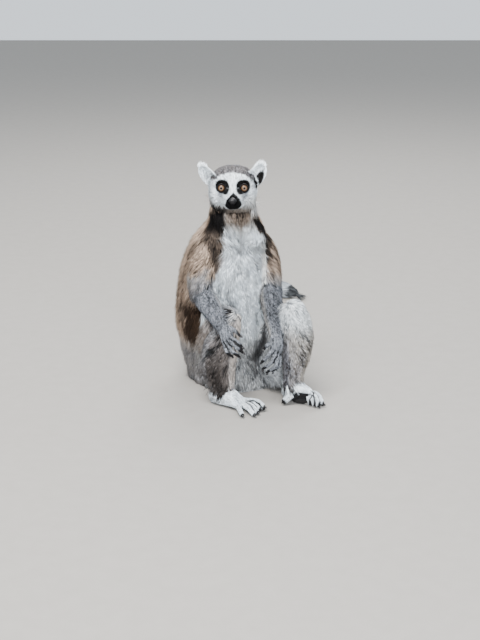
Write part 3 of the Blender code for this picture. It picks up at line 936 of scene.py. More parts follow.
def crease_shade(places, names):
    """Painted shade: 1 in the groin, in the folds of the lap and where a form meets its
    neighbours in front.
    """
    tree, _ = tree_of(names)
    gap = np.array([tree.find_nearest(Vector(place))[3] for place in places])
    fold = 0.75 * smoothstep(0.0060, 0.0015, gap) * smoothstep(-0.02, -0.04, places[:, 1])
    for line, reach in CREASE_SHADES:
        near = 0.85 * smoothstep(reach, 0.36 * reach, off_line(places, line))
        fold = np.maximum(fold, near)
    return fold


def marks_of(name, kind, side, places, ragged, outward, ring_length):
    """The masks that a node's coat has, at places and at their ragged copies."""
    if kind in ("head", "muzzle"):
        return head_marks(places)
    if kind == "ear":
        return ear_marks(places, outward, side)
    if kind == "upper_arm":
        return arm_marks(ragged, outward, side)
    if kind == "forearm":
        return forearm_marks(ragged, outward, side)
    if kind == "thigh":
        return thigh_marks(ragged, outward, side)
    if kind == "shin":
        return shin_marks(ragged, outward, side)
    if kind == "tail":
        return tail_marks(ragged, ring_length)
    marks = end_marks(ragged, kind, base_of(name) in HAND)
    return marks | {"black": 0.97 * bare_marks(name, places, outward)}


def markings(places, normals, owners, sizes):
    """Masks from 0 to 1 of each colour of the coat at each place."""
    marks = {name: np.zeros(len(places)) for name in MASKS}
    turn = trunk_angle(places) + wave_noise(places, 0.010, 3) * 5
    ragged = places + 0.0016 * wave_warp(places, 0.006, 5)
    for name, kind, side, mine in owned(owners):
        if kind in TRUNK:
            found = trunk_marks(turn[mine], ragged[mine])
        else:
            here = (places[mine], ragged[mine], normals[mine])
            found = marks_of(name, kind, side, *here, sizes.ring_length)
        for mask, values in found.items():
            marks[mask][mine] = np.clip(values, 0, 1)
        # Painted shade where the forms of the lap meet.
        if name in LAP:
            others = [other for other in LAP if (other in TRUNK) != (name in TRUNK)]
            fold = crease_shade(ragged[mine], others)
            marks["charcoal"][mine] = np.maximum(marks["charcoal"][mine], fold)
    return marks


# ---------------------------------------------------------------- the skin
def gaze(side):
    """The way an eye looks."""
    out = -GAZE_OUT if side == "right" else GAZE_OUT
    return Vector((out, -1.0, GAZE_UP)).normalized()


def face_depth(places):
    """Depth of the head's coat: thin on the face, deeper on cheeks, crown and neck."""
    aside, forward, up = face_place(places)
    neck = 0.0045 * smoothstep(0.002, -0.022, forward)
    cheek = 0.0040 * smoothstep(0.021, 0.034, np.abs(aside)) * smoothstep(0.006, -0.012, up)
    return 0.0018 + neck + cheek + 0.0015 * smoothstep(0.018, 0.028, up)


def coat_depth(places, owners):
    """How far the skin lies under the outside of the coat."""
    depth = np.zeros(len(places))
    turn = np.abs(trunk_angle(places))
    for name, kind, _, mine in owned(owners):
        depth[mine] = COAT[kind][0] / 1000
        if kind in ("chest", "belly", "rump"):
            depth[mine] += 0.004 * smoothstep(70, 120, turn[mine])
        elif kind == "head":
            depth[mine] = face_depth(places[mine])
        elif kind in ("forearm", "shin"):
            end = name.replace("forearm", "hand").replace("shin", "foot")
            reach = np.linalg.norm(places[mine] - node_centre(end), axis=1)
            depth[mine] *= 0.35 + 0.65 * smoothstep(0.012, 0.055, reach)
    return depth


def eye_axes(side):
    """An eye's own ways: across, over and ahead."""
    ahead = gaze(side)
    across = ahead.cross(Vector((0, 0, 1))).normalized()
    return across, across.cross(ahead), ahead


def from_eye(places, side):
    """Ways of places from an eye's centre, their distances, and angles off its gaze."""
    way = places - np.array(EYE_CENTRES[side])
    reach = np.maximum(np.linalg.norm(way, axis=1), 1e-9)
    way /= reach[:, None]
    return way, reach, np.arccos(np.clip(way @ np.array(gaze(side)), -1, 1))


def lid_opening(side, way, sizes):
    """How far out of the gap between the lids a direction lies: 1 at its rim."""
    across, over, _ = eye_axes(side)
    x, y = way @ np.array(across), way @ np.array(over)
    return np.hypot(x * EYE_RADIUS / sizes.lid_width, y * EYE_RADIUS / sizes.lid_height)


def part_lids(places, on_head, sizes):
    """Draws the skin back from the eyes and lays it over their edges as lids."""
    wide, laid_from = math.radians(88), math.radians(58)
    for side in SIDES:
        way, reach, angle = from_eye(places, side)
        near = on_head & (reach < EYE_RADIUS + 0.007) & (angle < wide)
        lid = EYE_RADIUS + LID_OVER
        ease = smoothstep(wide, laid_from, angle)
        laid = np.maximum(reach * (1 - ease) + lid * ease, lid)
        target = np.where(lid_opening(side, way, sizes) < 1, EYE_RADIUS - LID_UNDER, laid)
        places[near] = np.array(EYE_CENTRES[side]) + way[near] * target[near, None]
    return places


def unwrap(obj):
    """Lays the skin's own surface out flat, as the map OFBake."""
    for other in bpy.context.selected_objects:
        other.select_set(False)
    bpy.context.view_layer.objects.active = obj
    obj.select_set(True)
    bpy.ops.object.mode_set(mode="EDIT")
    bpy.ops.mesh.select_all(action="SELECT")
    bpy.ops.uv.smart_project(angle_limit=math.radians(66), island_margin=0.0005)
    bpy.ops.object.mode_set(mode="OBJECT")
    obj.data.uv_layers[0].name = "OFBake"


def skin_fields(label, mesh, growth, tree, face_owner, sizes):
    """Moves one fused form in to the skin's depth, and gives what the coat needs to know."""
    edges = edge_ends(mesh)
    normals = vertex_normals(mesh)
    outer = vertex_places(mesh) - normals * growth
    outer[:, 2] = np.maximum(outer[:, 2], OUTER_FLOOR)
    owners = face_owner[[tree.find_nearest(Vector(place))[2] for place in outer]]
    depth = spread(coat_depth(outer, owners), edges, 10)
    inner = outer - unit(spread(normals, edges, 3)) * depth[:, None]
    inner = spread(inner, edges, 2, 0.4)
    on_head = np.isin(owners, [FLESH.index("head"), FLESH.index("muzzle")])
    inner = part_lids(inner, on_head, sizes)
    inner[:, 2] = np.maximum(inner[:, 2], SKIN_FLOOR)
    set_places(mesh, inner)
    marks = markings(outer, normals, owners, sizes)
    return {
        "outer": outer,
        "lie": unit(spread(unit(lie_of_coat(outer, owners)), edges, 6)),
        "owner": owners.astype(float),
        "hidden": hidden_places(label, outer).astype(float),
        # Painted shade: the skin darkens where the coat over it is deep.
        "along": 0.62 - 0.62 * smoothstep(0.001, 0.009, depth),
        "bare": bare_places(outer, inner, normals, owners, marks),
        **tuft_sizes(outer, owners),
        **marks,
    }


def build_skin(sizes):
    """The one skin, which carries what the coat needs to know at each of its places."""
    tree, face_owner = tree_of(FLESH)
    joined = bmesh.new()
    collected = {}
    for label, mesh, growth in skin_groups(sizes):
        fields = skin_fields(label, mesh, growth, tree, face_owner, sizes)
        joined.from_mesh(mesh)
        bpy.data.meshes.remove(mesh)
        for name, values in fields.items():
            collected.setdefault(name, []).append(values)
    skin = bpy.data.meshes.new("skin")
    joined.to_mesh(skin)
    joined.free()
    for name, values in collected.items():
        keep(skin, name, np.concatenate(values))
    skin.shade_smooth()
    obj = bpy.data.objects.new("skin", skin)
    link(obj)
    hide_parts(*FLESH)
    unwrap(obj)
    return obj


# How deep in its carrier a place lies before no coat grows on it.
BURIED = 0.001


def hidden_places(label, outer):
    """Marks what lies inside the part that carries a group, where no coat grows."""
    base, _, side = label.partition("_")
    carriers = {
        "body": ("head", *(f"{end}_{way}" for end in ("hand", "foot") for way in SIDES)),
        "head": ("neck",),
        "hand": (f"forearm_{side}",),
        "foot": (f"shin_{side}",),
    }[base]
    hidden = np.zeros(len(outer), dtype=bool)
    for name in carriers:
        tree, _ = tree_of([name])
        low, high = (np.array(corner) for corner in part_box(name))
        inside = ((outer > low) & (outer < high)).all(axis=1)
        for i in np.nonzero(inside)[0]:
            spot, normal, _, _ = tree.find_nearest(Vector(outer[i]))
            hidden[i] |= (Vector(outer[i]) - spot).dot(normal) < -BURIED
    return hidden


def tuft_sizes(places, owners):
    """Length, half width and number per square metre of the tufts at each place."""
    table = np.array([COAT[kind_of(name)][1:] for name in FLESH])[owners]
    long, wide, many = table.T.copy()
    kinds = kinds_at(owners)
    head = kinds == "head"
    aside, forward, up = face_place(places)
    side = np.abs(aside)
    back = smoothstep(0.002, -0.022, forward)
    cheek = smoothstep(0.019, 0.032, side) * smoothstep(0.008, -0.012, up)
    jaw = smoothstep(-0.014, -0.030, up) * smoothstep(0.030, 0.010, forward)
    face_length = 4.2 + 4.0 * back + 8.0 * cheek + 11.0 * jaw
    face_length = np.where(oval(side, up, EYE_SURROUND) < 1.25, 2.6, face_length)
    long = np.where(head, face_length, long)
    wide = np.where(head, 0.36 + 0.03 * face_length, wide)
    many = np.where(head, 190 - 7.0 * face_length, many)
    tip = smoothstep(0.014, 0.032, up) * (kinds == "ear")
    long = long + 3.0 * tip
    return {"long": long / 1000, "wide": wide / 1000, "many": many * 1e4}


def bare_places(outer, inner, normals, owners, marks):
    """Marks the skin that carries no coat: eye openings, nose, palms, soles, undersides."""
    bare = np.zeros(len(outer))
    for side in SIDES:
        _, reach, angle = from_eye(inner, side)
        bare = np.maximum(bare, (reach < EYE_RADIUS + 0.004) & (angle < math.radians(60)))
    ends = np.isin(kinds_at(owners), ("hand", "foot", "digit"))
    bare = np.maximum(bare, ends * smoothstep(0.4, 0.7, marks["black"]))
    bare = np.maximum(bare, np.linalg.norm(outer - node_centre("nose"), axis=1) < 0.0062)
    return np.maximum(bare, (outer[:, 2] < 0.0015) & (normals[:, 2] < -0.6))


# ---------------------------------------------------------------- the coat
GROUND_FIELDS = ("outer", "lie", "owner", "hidden", "bare", "long", "wide", "many")


class CoatGround:
    """The skin as arrays: where tufts may root, and what they are like there."""

    # The one that the coat grows on, once the skin is built.
    current = None

    def __init__(self, skin, coat):
        mesh = skin.data
        mesh.calc_loop_triangles()
        count = len(mesh.loop_triangles)
        corners = np.empty(count * 3, dtype=np.int32)
        mesh.loop_triangles.foreach_get("vertices", corners)
        self.corners = corners.reshape(-1, 3)
        loops = np.empty(count * 3, dtype=np.int32)
        mesh.loop_triangles.foreach_get("loops", loops)
        flat = np.empty(len(mesh.loops) * 2, dtype=np.float32)
        mesh.uv_layers["OFBake"].data.foreach_get("uv", flat)
        self.unwrapped = flat.reshape(-1, 2)[loops.reshape(-1, 3)]
        self.inner = vertex_places(mesh)
        self.fields = {name: kept(mesh, name) for name in (*GROUND_FIELDS, *MASKS)}
        outer = self.fields["outer"]
        self.tree = BVHTree.FromPolygons(outer.tolist(), self.corners.tolist())
        a, b, c = (outer[self.corners[:, k]] for k in range(3))
        self.normals = unit(np.cross(b - a, c - a))
        self.area = np.linalg.norm(np.cross(b - a, c - a), axis=1) / 2
        self.owner = self.fields["owner"][self.corners[:, 0]].astype(int)
        self.coat = coat

    def at(self, name, faces, shares):
        """What the skin keeps under a name, at some roots."""
        values = self.fields[name][self.corners[faces]]
        if values.ndim == 3:
            return (values * shares[..., None]).sum(axis=1)
        return (values * shares).sum(axis=1)

    def nearest(self, places, limit):
        """The closest places on the coat's outside, with their faces."""
        spots = np.array(places)
        faces = np.zeros(len(places), dtype=int)
        for i, place in enumerate(places.tolist()):
            spot, _, face, _ = self.tree.find_nearest(place)
            faces[i] = face
            spots[i] = spot
        far = np.linalg.norm(spots - places, axis=1) > limit
        spots[far] = places[far]
        return spots, faces

    def roots(self, nodes, rng, side=None):
        """Faces and shares of corners for the roots of the tufts on some nodes."""
        corner = self.corners
        wanted = np.isin(self.owner, [FLESH.index(name) for name in nodes])
        wanted &= self.fields["hidden"][corner].max(axis=1) < 0.5
        wanted &= self.fields["bare"][corner].mean(axis=1) < 0.5
        if side is not None:
            wanted &= side(self.fields["outer"][corner].mean(axis=1))
        weight = self.area * self.fields["many"][corner].mean(axis=1) * wanted
        total = np.cumsum(weight)
        many = int(total[-1] * self.coat.fullness)
        picks = (np.arange(many) + rng.random(many)) / many * total[-1]
        faces = np.minimum(np.searchsorted(total, picks), len(total) - 1)
        shares = rng.dirichlet((1, 1, 1), many)
        return faces, shares


def hang_low(places):
    """1 near the floor, where tufts hang free as a fringe."""
    return smoothstep(0.048, 0.022, places[:, 2])


def ruff(places):
    """0.9 along the lower cheeks and the jaw, where tufts hang over the neck."""
    _, forward, up = face_place(places)
    return 0.9 * (smoothstep(-0.010, -0.024, up) * smoothstep(0.034, 0.020, forward))


# How deep in the skin a tuft starts, then where along it its bends and its tip lie, and how
# far under the outside, as a share of the coat's depth.
ROOT_DEPTH = 0.0004
BENDS = {
    1: ((0.46, 0.36), (1.0, 0.0)),
    2: ((0.34, 0.50), (0.68, 0.14), (1.0, -0.01)),
}


def along_surface(ways, normal):
    """Ways laid flat on the surface, one long."""
    return unit(ways - normal * (ways * normal).sum(axis=1, keepdims=True))


def streak_tone_with_parting_shade(outer, flow, length):
    """How light a tuft is from the streaks that it stands in, below 0 where they part, which
    paints shade in the partings.
    """
    cell = float(np.clip(length * 0.125, 0.0009, 0.0042))
    depth = 0.75 * streaks(outer, flow, cell, 3) + 0.65 * streaks(outer, flow, cell * 1.8, 4)
    return np.maximum(1.0 - 0.8 * np.exp(0.75 * np.clip(depth, -3, 2.2)), -1.7)


def lay_tufts(ground, faces, shares, rng, bends, lift, hang):
    """Tufts from their roots to their tips: points, outward ways, widths, the faces whose
    colours they take, and tones, low in the partings as painted shade."""
    many = len(faces)
    normal = ground.normals[faces]
    root = (ground.inner[ground.corners[faces]] * shares[..., None]).sum(axis=1)
    outer = ground.at("outer", faces, shares)
    lie = ground.at("lie", faces, shares)
    long = ground.at("long", faces, shares)
    lock = share_out(outer, float(np.clip(long.mean() * 0.45, 0.0028, 0.0105)), 21)
    tone_with_parting_shade = streak_tone_with_parting_shade(outer, along_surface(lie, normal), long.mean())
    own, shared, waves = STRAY
    lie += own * rng.normal(size=(many, 3)) + shared * rng.normal(size=(lock.max() + 1, 3))[lock]
    lie += waves * wave_warp(outer, 0.022, 31)
    lie = along_surface(lie, normal)
    long = long * rng.uniform(*LENGTH_SPREAD, many)
    wide = ground.at("wide", faces, shares) * rng.uniform(*WIDTH_SPREAD, many)
    depth = np.linalg.norm(outer - root, axis=1)
    free = (hang(outer) * (normal[:, 2] < 0.5))[:, None] if hang else 0.0
    line = [root - normal * ROOT_DEPTH]
    for stop, under in BENDS[bends]:
        spot, hit = ground.nearest(outer + lie * (long * stop)[:, None], long * 0.6)
        if stop < 1.0:
            seen = hit
        laid = spot - ground.normals[hit] * (depth * under)[:, None]
        drop = outer + (lie * 0.6 + (0, -0.04, -0.5)) * (long * stop)[:, None]
        line.append(laid * (1 - free * stop) + drop * free * stop)
    rise = lift * long * rng.random(many) ** 2 - 0.10 * depth * np.clip(-tone_with_parting_shade, 0, 2.5)
    line[-1] = line[-1] + ground.normals[hit] * rise[:, None]
    line[-1] = draw_together(outer, line[-1], ground.coat.clumping, rng, long)
    for place in line[1:]:
        place[:, 2] = np.maximum(place[:, 2], TUFT_FLOOR)
    return line, normal, wide, seen, tone_with_parting_shade


def cell_keys(places, cell, shift=0.0):
    """A number for the cell of a grid that each place lies in."""
    grid = np.floor(places / cell + shift).astype(np.int64)
    return (grid[:, 0] * 73856093) ^ (grid[:, 1] * 19349663) ^ (grid[:, 2] * 83492791)


def scattered(places, cell, seed):
    """A number from 0 to 1 for the cell that each place lies in."""
    keys = (cell_keys(places, cell, seed * 0.37) + seed) * 1103515245 + 12345
    keys ^= keys >> 15
    return (keys * 2654435761 % 4294967296) / 4294967296.0


def streaks(places, flow, cell, seed):
    """A value per place that changes across the lie of the coat and hardly along it."""
    spots = places + wave_warp(places, cell * 5, seed) * cell * 0.8
    total = sum(scattered(spots + flow * (k * cell * 0.9), cell, seed) for k in range(-6, 7))
    return (total - total.mean()) / max(total.std(), 1e-9)


def share_out(places, cell, seed):
    """The lock that each place belongs to, on a wavy grid of cells."""
    warp = wave_warp(places, cell * 2.2, seed)
    return np.unique(cell_keys(places + warp * cell * 0.7, cell), return_inverse=True)[1]


def draw_together(roots, tips, clumping, rng, long):
    """Moves the tips of close tufts towards their shared middle."""
    cell = 0.0058 if long.mean() > 0.015 else max(0.0022, long.mean() * 0.42)
    group = share_out(roots, cell, 11)
    size = np.bincount(group)
    middle = np.stack([np.bincount(group, tips[:, k]) / size for k in range(3)], axis=1)
    pull = clumping * rng.uniform(0.5, 1.2, len(tips))[:, None]
    return tips + (middle[group] - tips) * np.clip(pull, 0, 0.9)


# The most triangles that one piece of the coat may have.
MOST_TRIANGLES = 199_000


def spindle(rings):
    """A tuft's faces between its root, its rings of three corners and its tip."""
    faces = [(0, 1, 2), (0, 2, 3), (0, 3, 1)]
    turn = ((0, 1), (1, 2), (2, 0))
    for low in range(1, 1 + 3 * (rings - 1), 3):
        for j, n in turn:
            faces += [(low + j, low + 3 + j, low + 3 + n), (low + j, low + 3 + n, low + n)]
    last, tip = 3 * rings - 2, 3 * rings + 1
    faces += [(last + j, tip, last + n) for j, n in turn]
    return np.array(faces, dtype=np.int32)[:, ::-1]


def tuft_mesh(name, ground, faces, line, normal, wide, seen, tone_with_parting_shade, rng):
    """One mesh of closed, tapered, three-sided tufts."""
    many, rings = len(faces), len(line) - 2
    size = 2 + 3 * rings
    pattern = spindle(rings)
    triangles = many * len(pattern)
    if triangles > MOST_TRIANGLES:
        raise RuntimeError(f"{name} would have {triangles} triangles")
    places = np.zeros((many, size, 3))
    places[:, 0], places[:, -1] = line[0], line[-1]
    along = [0.0]
    for k in range(rings):
        ahead = unit(line[k + 2] - line[k])
        across = unit(np.cross(normal, ahead))
        upward = np.cross(ahead, across)
        half = (wide * TAPER[k])[:, None]
        ring = (-across * half, across * half, upward * half * 0.62)
        for corner, off in enumerate(ring, 1 + 3 * k):
            places[:, corner] = line[k + 1] + off
        along += [(k + 1) / (rings + 1)] * 3
    along.append(1.0)
    starts = np.arange(many, dtype=np.int32) * size
    corners = (pattern[None] + starts[:, None, None]).ravel()
    mesh = bpy.data.meshes.new(name)
    mesh.vertices.add(many * size)
    mesh.vertices.foreach_set("co", places.astype(np.float32).ravel())
    mesh.loops.add(triangles * 3)
    mesh.loops.foreach_set("vertex_index", corners)
    mesh.polygons.add(triangles)
    mesh.polygons.foreach_set("loop_start", np.arange(0, triangles * 3, 3, dtype=np.int32))
    mesh.update(calc_edges=True)
    keep(mesh, "along", np.tile(along, many))
    keep(mesh, "shade", np.repeat(rng.normal(size=many), size))
    # The lock attribute carries how light each tuft's streak is, low in the partings as painted
    # shade.
    keep(mesh, "lock", np.repeat(tone_with_parting_shade, size))
    for mask in MASKS:
        values = ground.fields[mask][ground.corners[seen]].mean(axis=1)
        keep(mesh, mask, np.repeat(values, size))
    middle = ground.unwrapped[faces].mean(axis=1).clip(0.002, 0.998)
    patches = (middle[:, None] + tuft_patch(along)[None]).reshape(-1, 2)[corners]
    layer = mesh.uv_layers.new(name="OFBake")
    layer.data.foreach_set("uv", patches.astype(np.float32).ravel())
    mesh.shade_smooth()
    return mesh


def tuft_patch(along):
    """The small patch of the map OFBake that a tuft takes, about its middle."""
    patch = np.zeros((len(along), 2))
    patch[:, 1] = (np.array(along) - 0.5) * 0.003
    patch[1:-1, 0] = np.tile((-0.0015, 0.0015, 0.0), (len(along) - 2) // 3)
    return patch


def grow_coat(name, nodes, bends=2, lift=0.12, side=None, hang=None):
    """One piece of the coat, over some nodes of the solids."""
    ground = CoatGround.current
    rng = np.random.default_rng(bpy.context.scene.lemur_coat.seed + sum(map(ord, name)))
    faces, shares = ground.roots(nodes, rng, side)
    laid = lay_tufts(ground, faces, shares, rng, bends, lift, hang)
    mesh = tuft_mesh(name, ground, faces, *laid, rng)
    mesh.materials.append(bpy.data.materials["coat"])
    link(bpy.data.objects.new(name, mesh))


# ---------------------------------------------------------------- finishes
def node(tree, kind, values=None, **settings):
    made = tree.nodes.new(kind)
    for name, value in settings.items():
        setattr(made, name, value)
    for socket, value in (values or {}).items():
        made.inputs[socket].default_value = value
    return made


def mixed(tree, factor, a, b, blend="MIX"):
    """A colour mix of two sockets or colours."""
    mix = node(tree, "ShaderNodeMix", data_type="RGBA", blend_type=blend)
    for index, value in ((0, factor), (6, a), (7, b)):
        if isinstance(value, bpy.types.NodeSocket):
            tree.links.new(value, mix.inputs[index])
        elif index:
            mix.inputs[index].default_value = (*value, 1.0)
        else:
            mix.inputs[index].default_value = value
    return mix.outputs[2]


def calculated(tree, operation, *values):
    made = node(tree, "ShaderNodeMath", operation=operation)
    for index, value in enumerate(values):
        if isinstance(value, bpy.types.NodeSocket):
            tree.links.new(value, made.inputs[index])
        else:
            made.inputs[index].default_value = value
    return made.outputs[0]


def weighted(tree, total, *terms):
    """A number plus sockets, each times its own factor."""
    for socket, factor in terms:
        total = calculated(tree, "MULTIPLY_ADD", socket, factor, total)
    return total


def dimmed(tree, shade, light):
    """A colour times a brightness."""
    grey = node(tree, "ShaderNodeCombineColor")
    for channel in grey.inputs:
        tree.links.new(light, channel)
    return mixed(tree, 1.0, shade, grey.outputs[0], "MULTIPLY")


def texture(tree, kind, **values):
    """A texture on the piece's object coordinates."""
    made = node(tree, f"ShaderNodeTex{kind}", values)
    place = node(tree, "ShaderNodeTexCoord").outputs["Object"]
    tree.links.new(place, made.inputs["Vector"])
    return made


def new_group(name, inputs, outputs):
    group = bpy.data.node_groups.new(name, "ShaderNodeTree")
    for label, kind, default in inputs:
        socket = group.interface.new_socket(label, in_out="INPUT", socket_type=kind)
        socket.default_value = default
    for label, kind in outputs:
        group.interface.new_socket(label, in_out="OUTPUT", socket_type=kind)
    return group, group.nodes.new("NodeGroupInput"), group.nodes.new("NodeGroupOutput")


# How dark and how pale each mask's colour gets from tuft to tuft.
TICKING = {
    "cream": (0.45, 1.4),
    "grey": (0.15, 2.35),
    "taupe": (0.22, 1.95),
    "rust": (0.45, 1.7),
    "charcoal": (0.5, 2.4),
}
WHITE_SHADOW = (0.86, 0.90, 0.95)


def coat_colour_group(colours):
    """Markings of the coat: its masks mixed over white, with a fleck per tuft and per lock.
    Painted shade darkens the partings between locks and the roots of tufts.
    """
    labels = [name.capitalize() for name in (*MASKS, "shade", "lock")]
    tree, given, out = new_group(
        "coat colours",
        [(label, "NodeSocketFloat", 0.0) for label in labels]
        + [("Along", "NodeSocketFloat", 0.6)],
        [("Colour", "NodeSocketColor"), ("Roughness", "NodeSocketFloat")],
    )
    shade, lock, along = (given.outputs[label] for label in ("Shade", "Lock", "Along"))
    broad = texture(tree, "Noise", Scale=55.0, Detail=3.0).outputs["Fac"]
    fleck = texture(tree, "Noise", Scale=330.0, Detail=2.0).outputs["Fac"]
    shadow = [c * tint for c, tint in zip(colours.white, WHITE_SHADOW)]
    result = mixed(tree, broad, colours.white, shadow)
    pepper = weighted(tree, -0.48, (fleck, 2.0), (shade, 0.34), (lock, 0.26))
    # Paler tips are the hair's own ticking; the lock term adds painted shade in the partings.
    streak = weighted(tree, -0.02, (along, 0.75), (shade, 0.10), (lock, 0.44))
    for mask, (dark, pale) in TICKING.items():
        colour_of = getattr(colours, mask)
        low = [dark * c for c in colour_of]
        high = [min(1.0, pale * c) for c in colour_of]
        ticked = mixed(tree, pepper if mask == "grey" else streak, low, high)
        result = mixed(tree, given.outputs[mask.capitalize()], result, ticked)
    result = mixed(tree, given.outputs["Black"], result, colours.black)
    # Painted shade: tufts darken at their roots and in the partings; the paler tips are partly
    # the hair's own banding.
    light = weighted(tree, 0.94, (shade, 0.03), (lock, 0.34))
    light = calculated(tree, "MULTIPLY", light, weighted(tree, 0.62, (along, 0.44)))
    tree.links.new(dimmed(tree, result, light), out.inputs["Colour"])
    rough = weighted(tree, 0.75, (given.outputs["Black"], -0.10))
    tree.links.new(rough, out.inputs["Roughness"])


def hide_group(colours):
    """Leathery hide: fine pores and creases as a colour and a height."""
    tree, given, out = new_group(
        "hide",
        [("Scale", "NodeSocketFloat", 900.0)],
        [("Colour", "NodeSocketColor"), ("Height", "NodeSocketFloat")],
    )
    pores = texture(tree, "Voronoi")
    creases = texture(tree, "Noise", Scale=260.0, Detail=4.0).outputs["Fac"]
    tree.links.new(given.outputs["Scale"], pores.inputs["Scale"])
    pale = [min(1.0, c * 2.0 + 0.003) for c in colours.leather]
    tree.links.new(mixed(tree, creases, colours.leather, pale), out.inputs["Colour"])
    height = calculated(tree, "ADD", pores.outputs["Distance"], creases)
    tree.links.new(height, out.inputs["Height"])


def new_material(name, roughness, specular=0.5):
    material = bpy.data.materials.new(name)
    material.use_nodes = True
    tree = material.node_tree
    shader = tree.nodes["Principled BSDF"]
    shader.inputs["Roughness"].default_value = roughness
    shader.inputs["Specular IOR Level"].default_value = specular
    return material, tree, shader


def coat_colours(tree, names):
    """The coat's colours, read from attributes of these names."""
    used = node(tree, "ShaderNodeGroup", node_tree=bpy.data.node_groups["coat colours"])
    for name in names:
        tree.links.new(attribute(tree, name), used.inputs[name.capitalize()])
    return used


def placed_hide(tree, shader, scale, strength, distance):
    """Hide with pores of a size, whose bump goes to the shader."""
    used = node(tree, "ShaderNodeGroup", node_tree=bpy.data.node_groups["hide"])
    used.inputs["Scale"].default_value = scale
    bump(tree, shader, used.outputs["Height"], strength, distance)
    return used.outputs["Colour"]


def attribute(tree, name):
    return node(tree, "ShaderNodeAttribute", attribute_name=name).outputs["Fac"]


def bump(tree, shader, height, strength, distance):
    made = node(tree, "ShaderNodeBump", {"Strength": strength, "Distance": distance})
    tree.links.new(height, made.inputs["Height"])
    tree.links.new(made.outputs["Normal"], shader.inputs["Normal"])


# Roughness and specular level of the bare parts, then the scale of their pores, and the
# strength and depth of their bump.
LEATHERS = {
    "nose leather": ((0.42, 0.30), (1500.0, 0.45, 0.0003)),
    "lid": ((0.62, 0.12), (2000.0, 0.3, 0.0002)),
}


def make_finishes(colours, sizes):
    """Every material of the model."""
    coat_colour_group(colours)
    hide_group(colours)
    _, tree, shader = new_material("coat", 0.7, 0.12)
    used = coat_colours(tree, (*MASKS, "shade", "lock", "along"))
    tree.links.new(used.outputs["Colour"], shader.inputs["Base Color"])
    tree.links.new(used.outputs["Roughness"], shader.inputs["Roughness"])

    _, tree, shader = new_material("skin", 0.75, 0.15)
    under = coat_colours(tree, (*MASKS, "along")).outputs["Colour"]
    hide = placed_hide(tree, shader, 800.0, 0.5, 0.0004)
    bare = attribute(tree, "bare")
    tree.links.new(mixed(tree, bare, under, hide), shader.inputs["Base Color"])
    tree.links.new(weighted(tree, 0.78, (bare, -0.25)), shader.inputs["Roughness"])

    for name, (surface, pores) in LEATHERS.items():
        _, tree, shader = new_material(name, *surface)
        tree.links.new(placed_hide(tree, shader, *pores), shader.inputs["Base Color"])

    _, tree, shader = new_material("nail", 0.3)
    streak = texture(tree, "Noise", Scale=700.0, Detail=3.0).outputs["Fac"]
    pale = [c * 3.2 + 0.015 for c in colours.leather]
    tree.links.new(mixed(tree, streak, colours.leather, pale), shader.inputs["Base Color"])
    bump(tree, shader, streak, 0.3, 0.0002)

    make_eye_finish(colours, sizes)


PUPIL = (0.003, 0.003, 0.003)
EYE_RIM = (0.004, 0.003, 0.003)
EYE_REACH = 0.008


def make_eye_finish(colours, sizes):
    """The eye by its distance from the pupil's middle: pupil, fibres, dark rim, dark white."""
    _, tree, shader = new_material("eye", 0.12, 0.12)
    shader.inputs["Coat Weight"].default_value = 0.12
    shader.inputs["Coat Roughness"].default_value = 0.03
    reach = attribute(tree, "reach")
    spot = node(tree, "ShaderNodeCombineXYZ")
    for index, name, factor in ((0, "swing", 14.0), (1, "reach", 260.0)):
        scaled = calculated(tree, "MULTIPLY", attribute(tree, name), factor)
        tree.links.new(scaled, spot.inputs[index])
    fibre = node(tree, "ShaderNodeTexNoise", {"Scale": 1.0, "Detail": 4.0, "Roughness": 0.6})
    tree.links.new(spot.outputs[0], fibre.inputs["Vector"])
    ramp = node(tree, "ShaderNodeValToRGB")
    tree.links.new(calculated(tree, "DIVIDE", reach, EYE_REACH), ramp.inputs["Fac"])
    iris, pupil = sizes.iris_radius, sizes.pupil_radius
    tan = [min(1.0, c * 1.10 + 0.07) for c in colours.iris]
    stops = (
        (0.0, PUPIL),
        (pupil, PUPIL),
        (pupil + 0.00025, tan),
        (pupil + 0.0011, [0.8 * c for c in tan]),
        (pupil + 0.0018, colours.iris),
        (iris - 0.0010, [0.75 * c for c in colours.iris]),
        (iris - 0.0001, [0.22 * c for c in colours.iris]),
        (iris + 0.00024, EYE_RIM),
        (EYE_REACH, EYE_RIM),
    )
    line = ramp.color_ramp.elements
    while len(line) < len(stops):
        line.new(0.5)
    for element, (distance, shade) in zip(line, stops):
        element.position = distance / EYE_REACH
        element.color = (*shade, 1.0)
    light = weighted(tree, 0.45, (fibre.outputs["Fac"], 1.1))
    shade = dimmed(tree, ramp.outputs["Color"], light)
    tree.links.new(shade, shader.inputs["Base Color"])


# ---------------------------------------------------------------- eyes, nose and nails
def finished(name, bm, material, replaces=()):
    mesh = bpy.data.meshes.new(name)
    bmesh.ops.recalc_face_normals(bm, faces=bm.faces)
    bm.to_mesh(mesh)
    bm.free()
    mesh.materials.append(bpy.data.materials[material])
    mesh.shade_smooth()
    obj = bpy.data.objects.new(name, mesh)
    link(obj)
    if replaces:
        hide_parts(*replaces)
    return obj


def facing(direction, place):
    """A turn that brings +Z onto a direction, at a place."""
    turn = Vector((0, 0, 1)).rotation_difference(direction).to_matrix().to_4x4()
    return Matrix.Translation(place) @ turn


BULGE_REACH = 0.0062
BULGE_RISE = 0.0007


